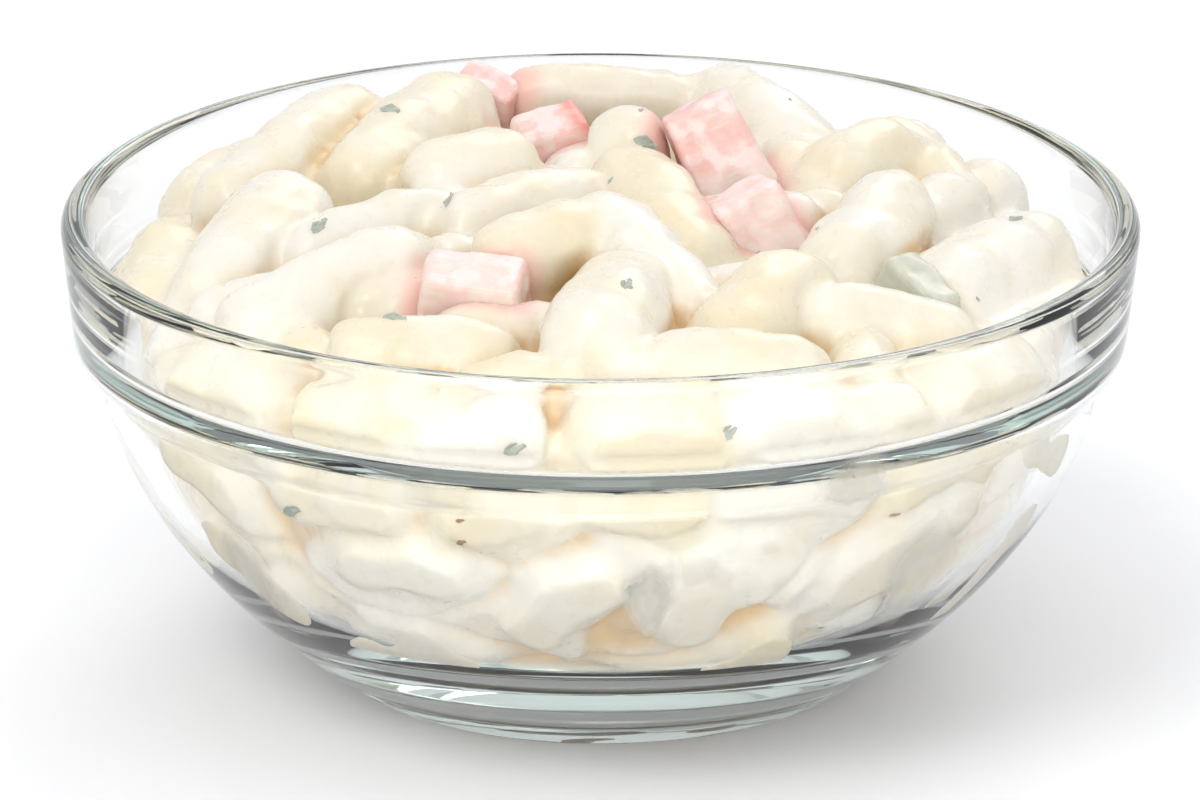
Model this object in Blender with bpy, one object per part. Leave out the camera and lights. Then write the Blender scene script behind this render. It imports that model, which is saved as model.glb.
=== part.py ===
"""Creamy pasta salad in a small stacking glass bowl.

Metres, +Z up. The bowl stands on z = 0 with its axis on Z, and -Y is its front.
The salad is one heap: a plain core with the outer elbows and herb bits fused to it. The pink blocks
and the pickle block lie in pockets of the heap.
"""

import math
import random

import bmesh
import bpy
from mathutils import Euler, Vector
from mathutils.bvhtree import BVHTree

MM = 0.001

# Glass bowl, outside
RIM_RADIUS = 60.0 * MM
BOWL_HEIGHT = 52.4 * MM
LIP_RADIUS = 1.45 * MM
BAND_FOOT_RADIUS = 58.7 * MM
BAND_FOOT_HEIGHT = 37.8 * MM
STEP_RADIUS = 56.1 * MM
STEP_HEIGHT = 35.4 * MM
SHOULDER = Vector((-0.5, 0.8)) * MM
BODY_PULL_TOP = Vector((-1.9, -15.4)) * MM
BODY_PULL_BASE = Vector((10.9, 7.8)) * MM
BASE_RADIUS = 30.0 * MM
FOOT_RING_WIDTH = 3.5 * MM
FOOT_RECESS = 0.7 * MM
BODY_POINTS = 6
LIP_POINTS = 5

# Glass bowl, inside
INNER_RIM_RADIUS = 57.0 * MM
LEDGE_TOP = Vector((55.9, 41.6)) * MM
LEDGE_FOOT = Vector((53.3, 38.4)) * MM
INNER_PULL_TOP = Vector((-1.2, -16.8)) * MM
INNER_PULL_BASE = Vector((12.4, 4.5)) * MM
FLOOR_RADIUS = 27.0 * MM
FLOOR_THICKNESS = 5.5 * MM
FLOOR_DISH = 0.3 * MM
WALL_POINTS = 6
FINE_WALL_POINTS = 24
BOWL_SEGMENTS = 56
BOWL_SHARP_ANGLE = math.radians(40)
MERGE_DISTANCE = 0.001 * MM

# Salad heap
WALL_GAP = 0.55 * MM
CORE_DEPTH = 5.0 * MM
CORE_EDGE_HEIGHT = 44.5 * MM
CORE_EDGE_RADIUS = 47.0 * MM
CORE_CROWN = 4.0 * MM
CORE_SEGMENTS = 28
CORE_SIDE_HEIGHTS = [8, 15, 24, 33, 41]
CORE_TOP_SHARES = [1, 0.6, 0.3]
POCKET_GAP = 0.35 * MM
GLASS_CLEARANCE = 0.35 * MM
HEAP_CEILING = 80.0 * MM
HEAP_SHARP_ANGLE = math.radians(50)

# One elbow, and its rings as (share of the length, share of the radius)
ELBOW_LENGTH = 17.0 * MM
ELBOW_THICKNESS = 9.0 * MM
SHOWN_SIDES = 7
HIDDEN_SIDES = 6
ELBOW_RINGS = [(0.07, 0.66), (0.24, 0.98), (0.5, 1.0), (0.76, 0.98), (0.93, 0.66)]

# Elbows on top, as (end, end, thickness, rise of the middle) in mm
TOP_ELBOWS = [
    ((-49, -3, 43), (-48, 3, 44), 10.5, 0),
    ((-42, 26, 45), (-37, 34, 46), 7.5, 1),
    ((-42, -9, 43), (-36, 4, 47), 12.5, 2),
    ((-40, 14, 47), (-30, 31, 50), 11.0, 2),
    ((-26, 16, 49), (-18, 34, 51), 12.0, 1),
    ((-32, -5, 45), (-18, 2, 48), 9.0, 3),
    ((-36, -26, 46), (-23, -16, 49), 11.5, 1),
    ((-17, 9, 52), (-12, 12, 52), 10.8, 0),
    ((-14, -2, 50), (-4, 6, 50), 9.0, 1),
    ((-25, -40, 48), (-13, -38, 47), 8.5, 1),
    ((-12, -46, 46), (-4, -46, 47), 7.5, 1),
    ((-8, 44, 50), (9, 44, 50), 7.5, 2),
    ((3, 21, 53), (4, 15, 51), 8.6, 0),
    ((4, 10, 50), (9, -5, 47), 11.5, 1),
    ((15, 43, 50), (22, 31, 48), 11.0, 1),
    ((22, 25, 48), (25, 12, 46), 10.0, 0),
    ((28, 20, 50), (31, 24, 50), 10.6, 0),
    ((34, 31, 49), (39, 24, 48), 8.0, 0),
    ((36, 14, 46), (40, 20, 47), 8.0, 0),
    ((27, -8, 47), (32, 4, 49), 11.0, 1),
    ((39, -10, 44), (47, 2, 44), 13.0, 1),
    ((26, -27, 47), (36, -24, 44), 10.0, 1),
    ((15, -34, 48), (20, -25, 50), 11.6, 0),
    ((5, -44, 46), (20, -43, 46), 9.5, 2),
    ((0, -39, 49), (2, -27, 49), 13.5, 0),
    ((-9, -17, 51), (1, -12, 52), 10.5, 1),
    ((2, -13, 52), (9, -24, 47), 10.5, 1),
]

# Elbows against the glass, as (angle, height, angle, height, thickness) in degrees and mm
WALL_ELBOWS = [
    (-145, 42, -130, 43, 9.5),
    (-125, 42, -110, 45, 9.5),
    (-112, 41, -97, 45, 8.0),
    (-92, 44, -76, 44, 10.5),
    (-75, 45, -59, 43, 8.5),
    (-60, 45, -49, 40, 7.5),
    (-49, 43, -32, 43, 8.5),
    (-152, 34, -137, 30, 8.5),
    (-131, 33, -114, 34, 8.0),
    (-109, 32, -94, 35, 8.5),
    (-93, 36, -78, 36, 7.0),
    (-76, 36, -57, 35, 8.5),
    (-54, 34, -37, 36, 8.5),
    (-32, 35, -19, 30, 8.5),
    (-147, 27, -132, 16, 11.5),
    (-123, 26, -107, 27, 9.0),
    (-102, 19, -88, 28, 11.5),
    (-81, 18, -72, 30, 11.5),
    (-61, 20, -45, 30, 12.5),
    (-34, 13, -24, 26, 9.5),
    (-130, 15, -105, 14, 10.0),
    (-88, 9, -62, 18, 9.0),
    (-106, 10, -82, 9, 8.5),
    (-60, 9, -36, 11, 8.5),
    (-152, 10, -130, 9, 8.5),
]

# Rows of elbows round the hidden glass, as (height, rise, number round the bowl) in mm
WALL_ROWS = [(43, 3, 16), (33, -6, 14), (22, 6, 12), (11, -3, 9)]
HAND_PLACED_SIDE = (-158.0, -14.0)
TOP_ROW_HEIGHT = 40
LOW_SIDES = [(-180.0, -158.0), (-14.0, 36.0), (152.0, 180.0)]
ROW_SEED = 7
ROW_TURN_SPREAD = 4.0
ROW_LEVEL_SPREAD = 2.0
ROW_THICKNESS_RANGE = (0.85, 1.15)
ROW_FILLED_SHARE = 0.8
WALL_END_SHARE = 0.35

# Ring of elbows on the floor of the bowl
BASE_COUNT = 7
BASE_RING_RADIUS = 13.0 * MM
BASE_SKEW = 1.1
BASE_THICKNESS_SHARE = 0.95

# Elbows that fill the spaces on top
TOP_FILL_SEED = 8
TOP_FILL_COUNT = 56
TOP_FILL_SPACING = 6.4 * MM
TOP_FILL_REACH = 0.97
TOP_FILL_THICKNESS_RANGE = (0.8, 1.05)
TOP_FILL_SINK = 0.5 * MM
TOP_FILL_RISE = 1.0 * MM
GOLDEN_ANGLE = math.radians(137.5)

# Pink blocks, as (name, centre, size, turn) in mm and degrees
PINK_BLOCKS = [
    ("pink_block_back", (-13.4, 43.0, 51.2), (8, 5, 7), (12, 20, -20)),
    ("pink_block_behind", (-5.4, 29.5, 50.0), (9, 7, 8), (10, -12, 15)),
    ("pink_block_tall", (13.0, 17.0, 53.6), (9.5, 7.5, 12), (-14, -24, 12)),
    ("pink_block_low", (17.2, 1.5, 49.8), (9, 8, 9), (-10, -24, 20)),
    ("pink_block_front", (-13.8, -25.6, 50.4), (12, 8, 7.5), (12, 4, -10)),
    ("pink_block_side", (36.6, -25.4, 29.5), (6.5, 7, 7), (10, 20, -35)),
]
PICKLE_BLOCK = ("pickle_block", (34.9, -16.5, 47.6), (10, 5, 6), (0, 20, -52))
BLOCK_BEVEL = 0.7 * MM
BLOCK_TOP_TAPER = (0.88, 0.92, 1.0)

# Herb bits on top, as (x, y, turn) in mm and degrees
TOP_HERBS = [
    (3, -36, 20), (-31, -6, 70), (5, 16, -30), (-17, -2, 10), (46, 0, 60),
    (-46, 8, 80), (18, -4, 25), (-22, -40, -20), (30, 30, 40), (-24, 22, 15),
    (10, 40, -50), (36, 8, 5),
]
# Herb bits against the glass, as (angle, height) in degrees and mm
WALL_HERBS = [(-99, 44), (-76, 45), (-128, 32), (-86, 26), (60, 40), (130, 30)]
HERB_SIZE = Vector((2.2, 1.4, 0.9)) * MM
HERB_TAPER = (0.4, 0.7, 1.0)
HERB_RAISE = 0.2 * MM
HERB_DROP_HEIGHT = 200.0 * MM
WALL_HERB_TURN = 0.5


def srgb(code):
    """Linear colour of a hex code."""
    values = [int(code[i : i + 2], 16) / 255 for i in (0, 2, 4)]
    linear = [v / 12.92 if v <= 0.04045 else ((v + 0.055) / 1.055) ** 2.4 for v in values]
    return (*linear, 1.0)


def material(name, code, roughness, transmission=0.0):
    """A plain finish from a hex code."""
    made = bpy.data.materials.new(name)
    made.use_nodes = True
    shader = made.node_tree.nodes["Principled BSDF"]
    shader.inputs["Base Color"].default_value = srgb(code)
    shader.inputs["Roughness"].default_value = roughness
    shader.inputs["Metallic"].default_value = 0.0
    shader.inputs["Transmission Weight"].default_value = transmission
    return made


def clear_scene():
    """Removes every object that the file opened with."""
    for obj in list(bpy.data.objects):
        bpy.data.objects.remove(obj)


def add_object(name, bm, collection=None):
    """Turns a bmesh into a named object whose faces point out."""
    bmesh.ops.recalc_face_normals(bm, faces=bm.faces[:])
    mesh = bpy.data.meshes.new(name)
    bm.to_mesh(mesh)
    bm.free()
    obj = bpy.data.objects.new(name, mesh)
    (collection or bpy.context.scene.collection).objects.link(obj)
    return obj


def bezier(points, count):
    """Points along a cubic curve, without its first one."""
    a, b, c, d = points
    found = []
    for i in range(1, count + 1):
        t = i / count
        s = 1 - t
        found.append(a * s**3 + b * (3 * t * s * s) + c * (3 * t * t * s) + d * t**3)
    return found


def arc(centre, radius, start, end, count):
    """Points along an arc, angles in degrees."""
    step = (end - start) / count
    turns = [math.radians(start + i * step) for i in range(count + 1)]
    return [centre + Vector((math.cos(a), math.sin(a))) * radius for a in turns]


def inner_wall(count):
    """Inside of the bowl from the lip down to the edge of its floor, as (radius, height)."""
    lip_foot = Vector((INNER_RIM_RADIUS, BOWL_HEIGHT - LIP_RADIUS))
    floor_edge = Vector((FLOOR_RADIUS, FLOOR_THICKNESS))
    pulls = (LEDGE_FOOT, LEDGE_FOOT + INNER_PULL_TOP, floor_edge + INNER_PULL_BASE, floor_edge)
    return [lip_foot, LEDGE_TOP, LEDGE_FOOT] + bezier(pulls, count)


def bowl_outline():
    """Closed half section of the glass, from the axis below to the axis above."""
    ring_inner = BASE_RADIUS - FOOT_RING_WIDTH
    base_edge = Vector((BASE_RADIUS, 0))
    step = Vector((STEP_RADIUS, STEP_HEIGHT))
    band_foot = Vector((BAND_FOOT_RADIUS, BAND_FOOT_HEIGHT))
    body = bezier((base_edge, base_edge + BODY_PULL_BASE, step + BODY_PULL_TOP, step), BODY_POINTS)
    shoulder = Vector((BAND_FOOT_RADIUS, STEP_HEIGHT)) + SHOULDER
    lip_mid = Vector((RIM_RADIUS - LIP_RADIUS, BOWL_HEIGHT - LIP_RADIUS))
    lip = arc(lip_mid, LIP_RADIUS, 0, 180, LIP_POINTS)
    recess = [Vector((0, FOOT_RECESS)), Vector((ring_inner - FOOT_RECESS, FOOT_RECESS))]
    outside = recess + [Vector((ring_inner, 0)), base_edge] + body + [shoulder, band_foot] + lip
    return outside + inner_wall(WALL_POINTS)[1:] + [Vector((0, FLOOR_THICKNESS - FLOOR_DISH))]


def lathe(name, outline, segments):
    """Turns a half section, both of whose ends lie on the axis, round Z."""
    bm = bmesh.new()
    points = [bm.verts.new((p.x, 0, p.y)) for p in outline]
    edges = [bm.edges.new(pair) for pair in zip(points, points[1:])]
    bmesh.ops.spin(
        bm,
        geom=points + edges,
        cent=(0, 0, 0),
        axis=(0, 0, 1),
        angle=math.tau,
        steps=segments,
        use_duplicate=False,
    )
    bmesh.ops.remove_doubles(bm, verts=bm.verts[:], dist=MERGE_DISTANCE)
    return add_object(name, bm)


def make_bowl():
    """The stacking bowl of thick clear glass."""
    bowl = lathe("bowl", bowl_outline(), BOWL_SEGMENTS)
    bowl.data.shade_smooth()
    bowl.data.set_sharp_from_angle(angle=BOWL_SHARP_ANGLE)
    bowl.data.materials.append(material("clear glass", "E8F2EE", 0.02, 1.0))
    return bowl


def wall_point(angle, height, depth):
    """Point at a depth inside the inner wall, at an angle in degrees and a height on the wall."""
    line = inner_wall(FINE_WALL_POINTS)
    below = next((i for i, p in enumerate(line) if p.y <= height), len(line) - 1)
    a, b = line[max(below - 1, 0)], line[max(below, 1)]
    share = min(max((a.y - height) / (a.y - b.y), 0), 1)
    spot = a.lerp(b, share)
    along = (b - a).normalized()
    spot += Vector((along.y, -along.x)) * depth
    turn = math.radians(angle)
    return Vector((spot.x * math.cos(turn), spot.x * math.sin(turn), spot.y))


def core_height(x, y):
    """Top of the bare core above a place in plan."""
    share = min(math.hypot(x, y) / CORE_EDGE_RADIUS, 1)
    return CORE_EDGE_HEIGHT + CORE_CROWN * (1 - share**2)


def make_core():
    """Plain filling of the bowl, set back from the glass by about half an elbow."""
    side = [wall_point(0, h * MM, CORE_DEPTH) for h in CORE_SIDE_HEIGHTS]
    outline = [Vector((0, side[0].z))] + [Vector((p.x, p.z)) for p in side]
    for share in CORE_TOP_SHARES:
        radius = CORE_EDGE_RADIUS * share
        outline.append(Vector((radius, core_height(radius, 0))))
    outline.append(Vector((0, core_height(0, 0))))
    return lathe("salad", outline, CORE_SEGMENTS)


def elbow(collection, start, end, thickness, bow, sides=HIDDEN_SIDES):
    """One coated elbow: a bent tube with blunt round ends between two points."""
    middle = (start + end) / 2 + bow
    reach = (end - start).normalized() * thickness / 2
    a, c = start - reach, end + reach
    control = middle * 2 - (a + c) / 2
    bm = bmesh.new()
    rings = []
    for t, share in ELBOW_RINGS:
        centre = a * (1 - t) ** 2 + control * (2 * t * (1 - t)) + c * t**2
        along = ((control - a) * (1 - t) + (c - control) * t).normalized()
        side = along.orthogonal().normalized()
        other = along.cross(side)
        turns = [math.tau * i / sides for i in range(sides)]
        radius = thickness / 2 * share
        rings.append(
            [bm.verts.new(centre + (side * math.cos(u) + other * math.sin(u)) * radius) for u in turns]
        )
    for low, high in zip(rings, rings[1:]):
        shift = nearest_turn(low[0], high)
        for i in range(sides):
            j = (i + 1) % sides
            p, q = (i + shift) % sides, (j + shift) % sides
            bm.faces.new((low[i], low[j], high[q], high[p]))
    for ring, tip in ((rings[0], a), (rings[-1], c)):
        pole = bm.verts.new(tip)
        for i in range(sides):
            bm.faces.new((ring[i], ring[(i + 1) % sides], pole))
    add_object(f"elbow_{len(collection.objects)}", bm, collection)


def nearest_turn(point, ring):
    """Index of the ring point that lies nearest a point of the ring before it."""
    return min(range(len(ring)), key=lambda i: (ring[i].co - point.co).length)


def add_top_elbows(collection):
    """The elbows that show on top. Returns the middles that they take up."""
    taken = []
    for start, end, thickness, rise in TOP_ELBOWS:
        a, b = Vector(start) * MM, Vector(end) * MM
        elbow(collection, a, b, thickness * MM, Vector((0, 0, rise * MM)), SHOWN_SIDES)
        taken += [a, (a + b) / 2, b]
    return taken


def wall_elbow(collection, place, thickness):
    """One elbow that follows the glass between two places on it."""
    angle_a, height_a, angle_b, height_b = place
    depth = thickness / 2 + WALL_GAP
    a = wall_point(angle_a, height_a, depth)
    b = wall_point(angle_b, height_b, depth)
    crown = wall_point((angle_a + angle_b) / 2, (height_a + height_b) / 2, depth)
    reach = (b - a).normalized() * thickness * WALL_END_SHARE
    elbow(collection, a + reach, b - reach, thickness, crown - (a + b) / 2)


def add_wall_elbows(collection):
    """The elbows that show through the glass: chosen ones in front, even rows round the rest."""
    for angle_a, height_a, angle_b, height_b, thickness in WALL_ELBOWS:
        place = (angle_a, height_a * MM, angle_b, height_b * MM)
        wall_elbow(collection, place, thickness * MM)
    draw = random.Random(ROW_SEED)
    for height, rise, count in WALL_ROWS:
        for i in range(count):
            angle = -90 + 360 * (i + 0.5) / count + draw.uniform(-ROW_TURN_SPREAD, ROW_TURN_SPREAD)
            tilt = rise * draw.uniform(-1, 1) * MM
            thickness = ELBOW_THICKNESS * draw.uniform(*ROW_THICKNESS_RANGE)
            level = (height + draw.uniform(-ROW_LEVEL_SPREAD, ROW_LEVEL_SPREAD)) * MM
            half = 180 / count * ROW_FILLED_SHARE
            turned = (angle + 180) % 360 - 180
            if HAND_PLACED_SIDE[0] < turned < HAND_PLACED_SIDE[1]:
                continue
            if height > TOP_ROW_HEIGHT and any(low < turned < high for low, high in LOW_SIDES):
                continue
            wall_elbow(collection, (angle - half, level - tilt, angle + half, level + tilt), thickness)


def add_base_elbows(collection):
    """A ring of elbows that lies on the floor of the bowl."""
    for i in range(BASE_COUNT):
        turn = math.tau * i / BASE_COUNT
        centre = Vector((math.cos(turn), math.sin(turn), 0)) * BASE_RING_RADIUS
        centre.z = FLOOR_THICKNESS + WALL_GAP + ELBOW_THICKNESS / 2
        heading = turn + BASE_SKEW
        half = Vector((math.cos(heading), math.sin(heading), 0)) * ELBOW_LENGTH / 4
        thickness = ELBOW_THICKNESS * BASE_THICKNESS_SHARE
        elbow(collection, centre - half, centre + half, thickness, Vector())


def add_top_fill(collection, taken):
    """Elbows in the spaces that the chosen ones leave on top, spread like seeds in a flower head."""
    draw = random.Random(TOP_FILL_SEED)
    for i in range(TOP_FILL_COUNT):
        turn = i * GOLDEN_ANGLE
        radius = CORE_EDGE_RADIUS * TOP_FILL_REACH * math.sqrt((i + 0.5) / TOP_FILL_COUNT)
        x, y = radius * math.cos(turn), radius * math.sin(turn)
        heading = draw.uniform(0, math.tau)
        thickness = ELBOW_THICKNESS * draw.uniform(*TOP_FILL_THICKNESS_RANGE)
        if any(math.hypot(x - p.x, y - p.y) < TOP_FILL_SPACING for p in taken):
            continue
        centre = Vector((x, y, core_height(x, y) - TOP_FILL_SINK))
        half = Vector((math.cos(heading), math.sin(heading), 0)) * ELBOW_LENGTH / 4
        elbow(collection, centre - half, centre + half, thickness, Vector((0, 0, TOP_FILL_RISE)))
        taken.append(centre)


def block_mesh(size, grow):
    """A block with cut edges, grown all round by a small amount."""
    bm = bmesh.new()
    bmesh.ops.create_cube(bm, size=1)
    bmesh.ops.scale(bm, vec=[s + 2 * grow for s in size], verts=bm.verts[:])
    top = [v for v in bm.verts if v.co.z > 0]
    bmesh.ops.scale(bm, vec=BLOCK_TOP_TAPER, verts=top)
    if not grow:
        bmesh.ops.bevel(bm, geom=bm.edges[:], offset=BLOCK_BEVEL, segments=1, affect="EDGES")
    return bm


def block(row, grow=0.0, collection=None):
    """One block of the salad at its place, or, grown, the pocket that it lies in."""
    name, centre, size, turn = row
    label = f"{name}_pocket" if grow else name
    made = add_object(label, block_mesh(Vector(size) * MM, grow), collection)
    made.location = Vector(centre) * MM
    made.rotation_euler = Euler([math.radians(t) for t in turn])
    return made


def herb_bit(collection, spot, normal, turn):
    """A flat bit of herb that lies on the heap, sunk so far that it stands proud by its raise."""
    bm = bmesh.new()
    bmesh.ops.create_cube(bm, size=1)
    bmesh.ops.scale(bm, vec=HERB_SIZE, verts=bm.verts[:])
    bmesh.ops.scale(bm, vec=HERB_TAPER, verts=[v for v in bm.verts if v.co.x > 0])
    made = add_object(f"herb_{len(collection.objects)}", bm, collection)
    made.rotation_mode = "QUATERNION"
    made.rotation_quaternion = normal.to_track_quat("Z", "Y") @ Euler((0, 0, turn)).to_quaternion()
    made.location = spot + normal * (HERB_RAISE - HERB_SIZE.z / 2)


def add_herbs(collection, heap):
    """Herb bits dropped on the heap from above, and pressed on it from the glass side."""
    graph = bpy.context.evaluated_depsgraph_get()
    surface = BVHTree.FromObject(heap, graph)
    for x, y, turn in TOP_HERBS:
        above = Vector((x * MM, y * MM, HERB_DROP_HEIGHT))
        spot, normal, _, _ = surface.ray_cast(above, Vector((0, 0, -1)))
        herb_bit(collection, spot, normal, math.radians(turn))
    for angle, height in WALL_HERBS:
        outer = wall_point(angle, height * MM, 0)
        inward = (wall_point(angle, height * MM, CORE_DEPTH) - outer).normalized()
        spot, normal, _, _ = surface.ray_cast(outer, inward)
        herb_bit(collection, spot, normal, WALL_HERB_TURN)


def helper_collection(name):
    """A collection for the pieces of one Boolean."""
    made = bpy.data.collections.new(name)
    bpy.context.scene.collection.children.link(made)
    return made


def join(target, collection, operation):
    """Applies one Boolean of a whole collection to the target, then removes the collection."""
    modifier = target.modifiers.new(collection.name, "BOOLEAN")
    modifier.operation = operation
    modifier.operand_type = "COLLECTION"
    modifier.collection = collection
    modifier.solver = "EXACT"
    graph = bpy.context.evaluated_depsgraph_get()
    joined = bpy.data.meshes.new_from_object(target.evaluated_get(graph))
    target.modifiers.clear()
    target.data = joined
    for obj in list(collection.objects):
        bpy.data.objects.remove(obj)
    bpy.data.collections.remove(collection)


def keep_largest_body(obj):
    """Drops the loose scraps that the cuts leave."""
    bm = bmesh.new()
    bm.from_mesh(obj.data)
    left = set(bm.verts)
    bodies = []
    while left:
        body = set()
        reached = [left.pop()]
        while reached:
            vert = reached.pop()
            body.add(vert)
            near = {e.other_vert(vert) for e in vert.link_edges} & left
            left -= near
            reached += near
        bodies.append(body)
    bodies.sort(key=len)
    for body in bodies[:-1]:
        bmesh.ops.delete(bm, geom=list(body), context="VERTS")
    bm.to_mesh(obj.data)
    bm.free()


def add_cavity(collection):
    """The space that the glass leaves for the heap, a hair smaller all round."""
    line = inner_wall(WALL_POINTS)
    outline = [Vector((0, HEAP_CEILING)), Vector((line[0].x - GLASS_CLEARANCE, HEAP_CEILING))]
    for before, point, after in zip([line[0]] + line, line, line[1:] + [line[-1]]):
        along = (after - before).normalized()
        outline.append(point + Vector((along.y, -along.x)) * GLASS_CLEARANCE)
    outline.append(Vector((0, FLOOR_THICKNESS + GLASS_CLEARANCE)))
    cavity = lathe("cavity", outline, BOWL_SEGMENTS)
    bpy.context.scene.collection.objects.unlink(cavity)
    collection.objects.link(cavity)


def make_salad():
    """The heap: core, elbows and herb bits as one body, inside the glass and clear of the blocks."""
    heap = make_core()
    elbows = helper_collection("elbows")
    taken = add_top_elbows(elbows)
    add_wall_elbows(elbows)
    add_base_elbows(elbows)
    add_top_fill(elbows, taken)
    join(heap, elbows, "UNION")
    herbs = helper_collection("herbs")
    add_herbs(herbs, heap)
    join(heap, herbs, "UNION")
    cavity = helper_collection("cavity")
    add_cavity(cavity)
    join(heap, cavity, "INTERSECT")
    pockets = helper_collection("pockets")
    for row in PINK_BLOCKS + [PICKLE_BLOCK]:
        block(row, POCKET_GAP, pockets)
    join(heap, pockets, "DIFFERENCE")
    keep_largest_body(heap)
    heap.data.materials.clear()
    heap.data.materials.append(material("creamy pasta", "F1EBDD", 0.35))
    heap.data.shade_smooth()
    heap.data.set_sharp_from_angle(angle=HEAP_SHARP_ANGLE)
    return heap


def make_blocks():
    """The pink blocks and the pickle block."""
    pink = material("pink block", "F2C4BD", 0.4)
    for row in PINK_BLOCKS:
        block(row).data.materials.append(pink)
    block(PICKLE_BLOCK).data.materials.append(material("pickle", "B9BBA4", 0.35))


clear_scene()
make_bowl()
make_salad()
make_blocks()
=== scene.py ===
"""Looks of a creamy pasta salad in a small stacking bowl of pressed glass.

Every size is in metres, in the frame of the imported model: +Z up, the bowl's axis on Z, its front at -Y.
Each class builds one sub-assembly and dresses it; main builds them in order.
"""

from __future__ import annotations

import logging
import math
import random
from dataclasses import dataclass, field
from typing import Any, Callable, Sequence

import bmesh
import bpy
import numpy as np
from mathutils import Euler, Matrix, Vector, noise
from mathutils.bvhtree import BVHTree


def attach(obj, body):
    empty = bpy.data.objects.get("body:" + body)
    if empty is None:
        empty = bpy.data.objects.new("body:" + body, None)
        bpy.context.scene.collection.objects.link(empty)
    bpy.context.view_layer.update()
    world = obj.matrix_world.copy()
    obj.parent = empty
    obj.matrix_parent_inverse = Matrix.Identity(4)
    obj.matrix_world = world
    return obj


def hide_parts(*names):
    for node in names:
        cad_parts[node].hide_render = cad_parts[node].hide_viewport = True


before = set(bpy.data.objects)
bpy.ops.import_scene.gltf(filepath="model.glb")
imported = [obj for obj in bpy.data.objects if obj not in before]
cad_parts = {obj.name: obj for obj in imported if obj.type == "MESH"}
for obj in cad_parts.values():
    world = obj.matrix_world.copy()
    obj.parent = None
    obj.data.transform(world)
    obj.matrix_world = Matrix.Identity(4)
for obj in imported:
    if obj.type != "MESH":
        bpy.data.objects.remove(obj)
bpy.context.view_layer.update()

log = logging.getLogger("pasta_salad")

MM = 0.001
STRAIGHT = 1e-9  # below this an elbow counts as straight
BODY = "root"

Pair = tuple[float, float]
Triple = tuple[float, float, float]

# Elbows on top, as (end, end, thickness, rise of the middle) in mm
TOP_ELBOWS: list[tuple[Triple, Triple, float, float]] = [
    ((-49, -3, 43), (-48, 3, 44), 10.5, 0),
    ((-42, 26, 45), (-37, 34, 46), 7.5, 1),
    ((-42, -9, 43), (-36, 4, 47), 12.5, 2),
    ((-40, 14, 47), (-30, 31, 50), 11.0, 2),
    ((-26, 16, 49), (-18, 34, 51), 12.0, 1),
    ((-32, -5, 45), (-18, 2, 48), 9.0, 3),
    ((-36, -26, 46), (-23, -16, 49), 11.5, 1),
    ((-17, 9, 52), (-12, 12, 52), 10.8, 0),
    ((-14, -2, 50), (-4, 6, 50), 9.0, 1),
    ((-25, -40, 48), (-13, -38, 47), 8.5, 1),
    ((-12, -46, 46), (-4, -46, 47), 7.5, 1),
    ((-8, 44, 50), (9, 44, 50), 7.5, 2),
    ((3, 21, 53), (4, 15, 51), 8.6, 0),
    ((4, 10, 50), (9, -5, 47), 11.5, 1),
    ((15, 43, 50), (22, 31, 48), 11.0, 1),
    ((22, 25, 48), (25, 12, 46), 10.0, 0),
    ((28, 20, 50), (31, 24, 50), 10.6, 0),
    ((34, 31, 49), (39, 24, 48), 8.0, 0),
    ((36, 14, 46), (40, 20, 47), 8.0, 0),
    ((27, -8, 47), (32, 4, 49), 11.0, 1),
    ((39, -10, 44), (47, 2, 44), 13.0, 1),
    ((26, -27, 47), (36, -24, 44), 10.0, 1),
    ((15, -34, 48), (20, -25, 50), 11.6, 0),
    ((5, -44, 46), (20, -43, 46), 9.5, 2),
    ((0, -39, 49), (2, -27, 49), 13.5, 0),
    ((-9, -17, 51), (1, -12, 52), 10.5, 1),
    ((2, -13, 52), (9, -24, 47), 10.5, 1),
]

# Elbows against the glass, as (angle, height, angle, height, thickness) in degrees and mm
WALL_ELBOWS: list[tuple[float, float, float, float, float]] = [
    (-145, 42, -130, 43, 9.5),
    (-125, 42, -110, 45, 9.5),
    (-112, 41, -97, 45, 8.0),
    (-92, 44, -76, 44, 10.5),
    (-75, 45, -59, 43, 8.5),
    (-60, 45, -49, 40, 7.5),
    (-49, 43, -32, 43, 8.5),
    (-152, 34, -137, 30, 8.5),
    (-131, 33, -114, 34, 8.0),
    (-109, 32, -94, 35, 8.5),
    (-93, 36, -78, 36, 7.0),
    (-76, 36, -57, 35, 8.5),
    (-54, 34, -37, 36, 8.5),
    (-32, 35, -19, 30, 8.5),
    (-147, 27, -132, 16, 11.5),
    (-123, 26, -107, 27, 9.0),
    (-102, 19, -88, 28, 11.5),
    (-81, 18, -72, 30, 11.5),
    (-61, 20, -45, 30, 12.5),
    (-34, 13, -24, 26, 9.5),
    (-130, 15, -105, 14, 10.0),
    (-88, 9, -62, 18, 9.0),
    (-106, 10, -82, 9, 8.5),
    (-60, 9, -36, 11, 8.5),
    (-152, 10, -130, 9, 8.5),
]

# Rows of elbows round the hidden glass, as (height, rise, number round the bowl) in mm
WALL_ROWS: list[tuple[float, float, int]] = [(43, 3, 16), (33, -6, 14), (22, 6, 12), (11, -3, 9)]

# Herb bits on top, as (x, y, turn) in mm and degrees
TOP_HERBS: list[Triple] = [
    (3, -36, 20), (-31, -6, 70), (5, 16, -30), (-17, -2, 10), (46, 0, 60),
    (-46, 8, 80), (18, -4, 25), (-22, -40, -20), (30, 30, 40), (-24, 22, 15),
    (10, 40, -50), (36, 8, 5),
]
# Herb bits against the glass, as (angle, height) in degrees and mm
WALL_HERBS: list[Pair] = [
    (-99, 44), (-76, 45), (-128, 32), (-86, 26), (60, 40), (130, 30),
]

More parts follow.
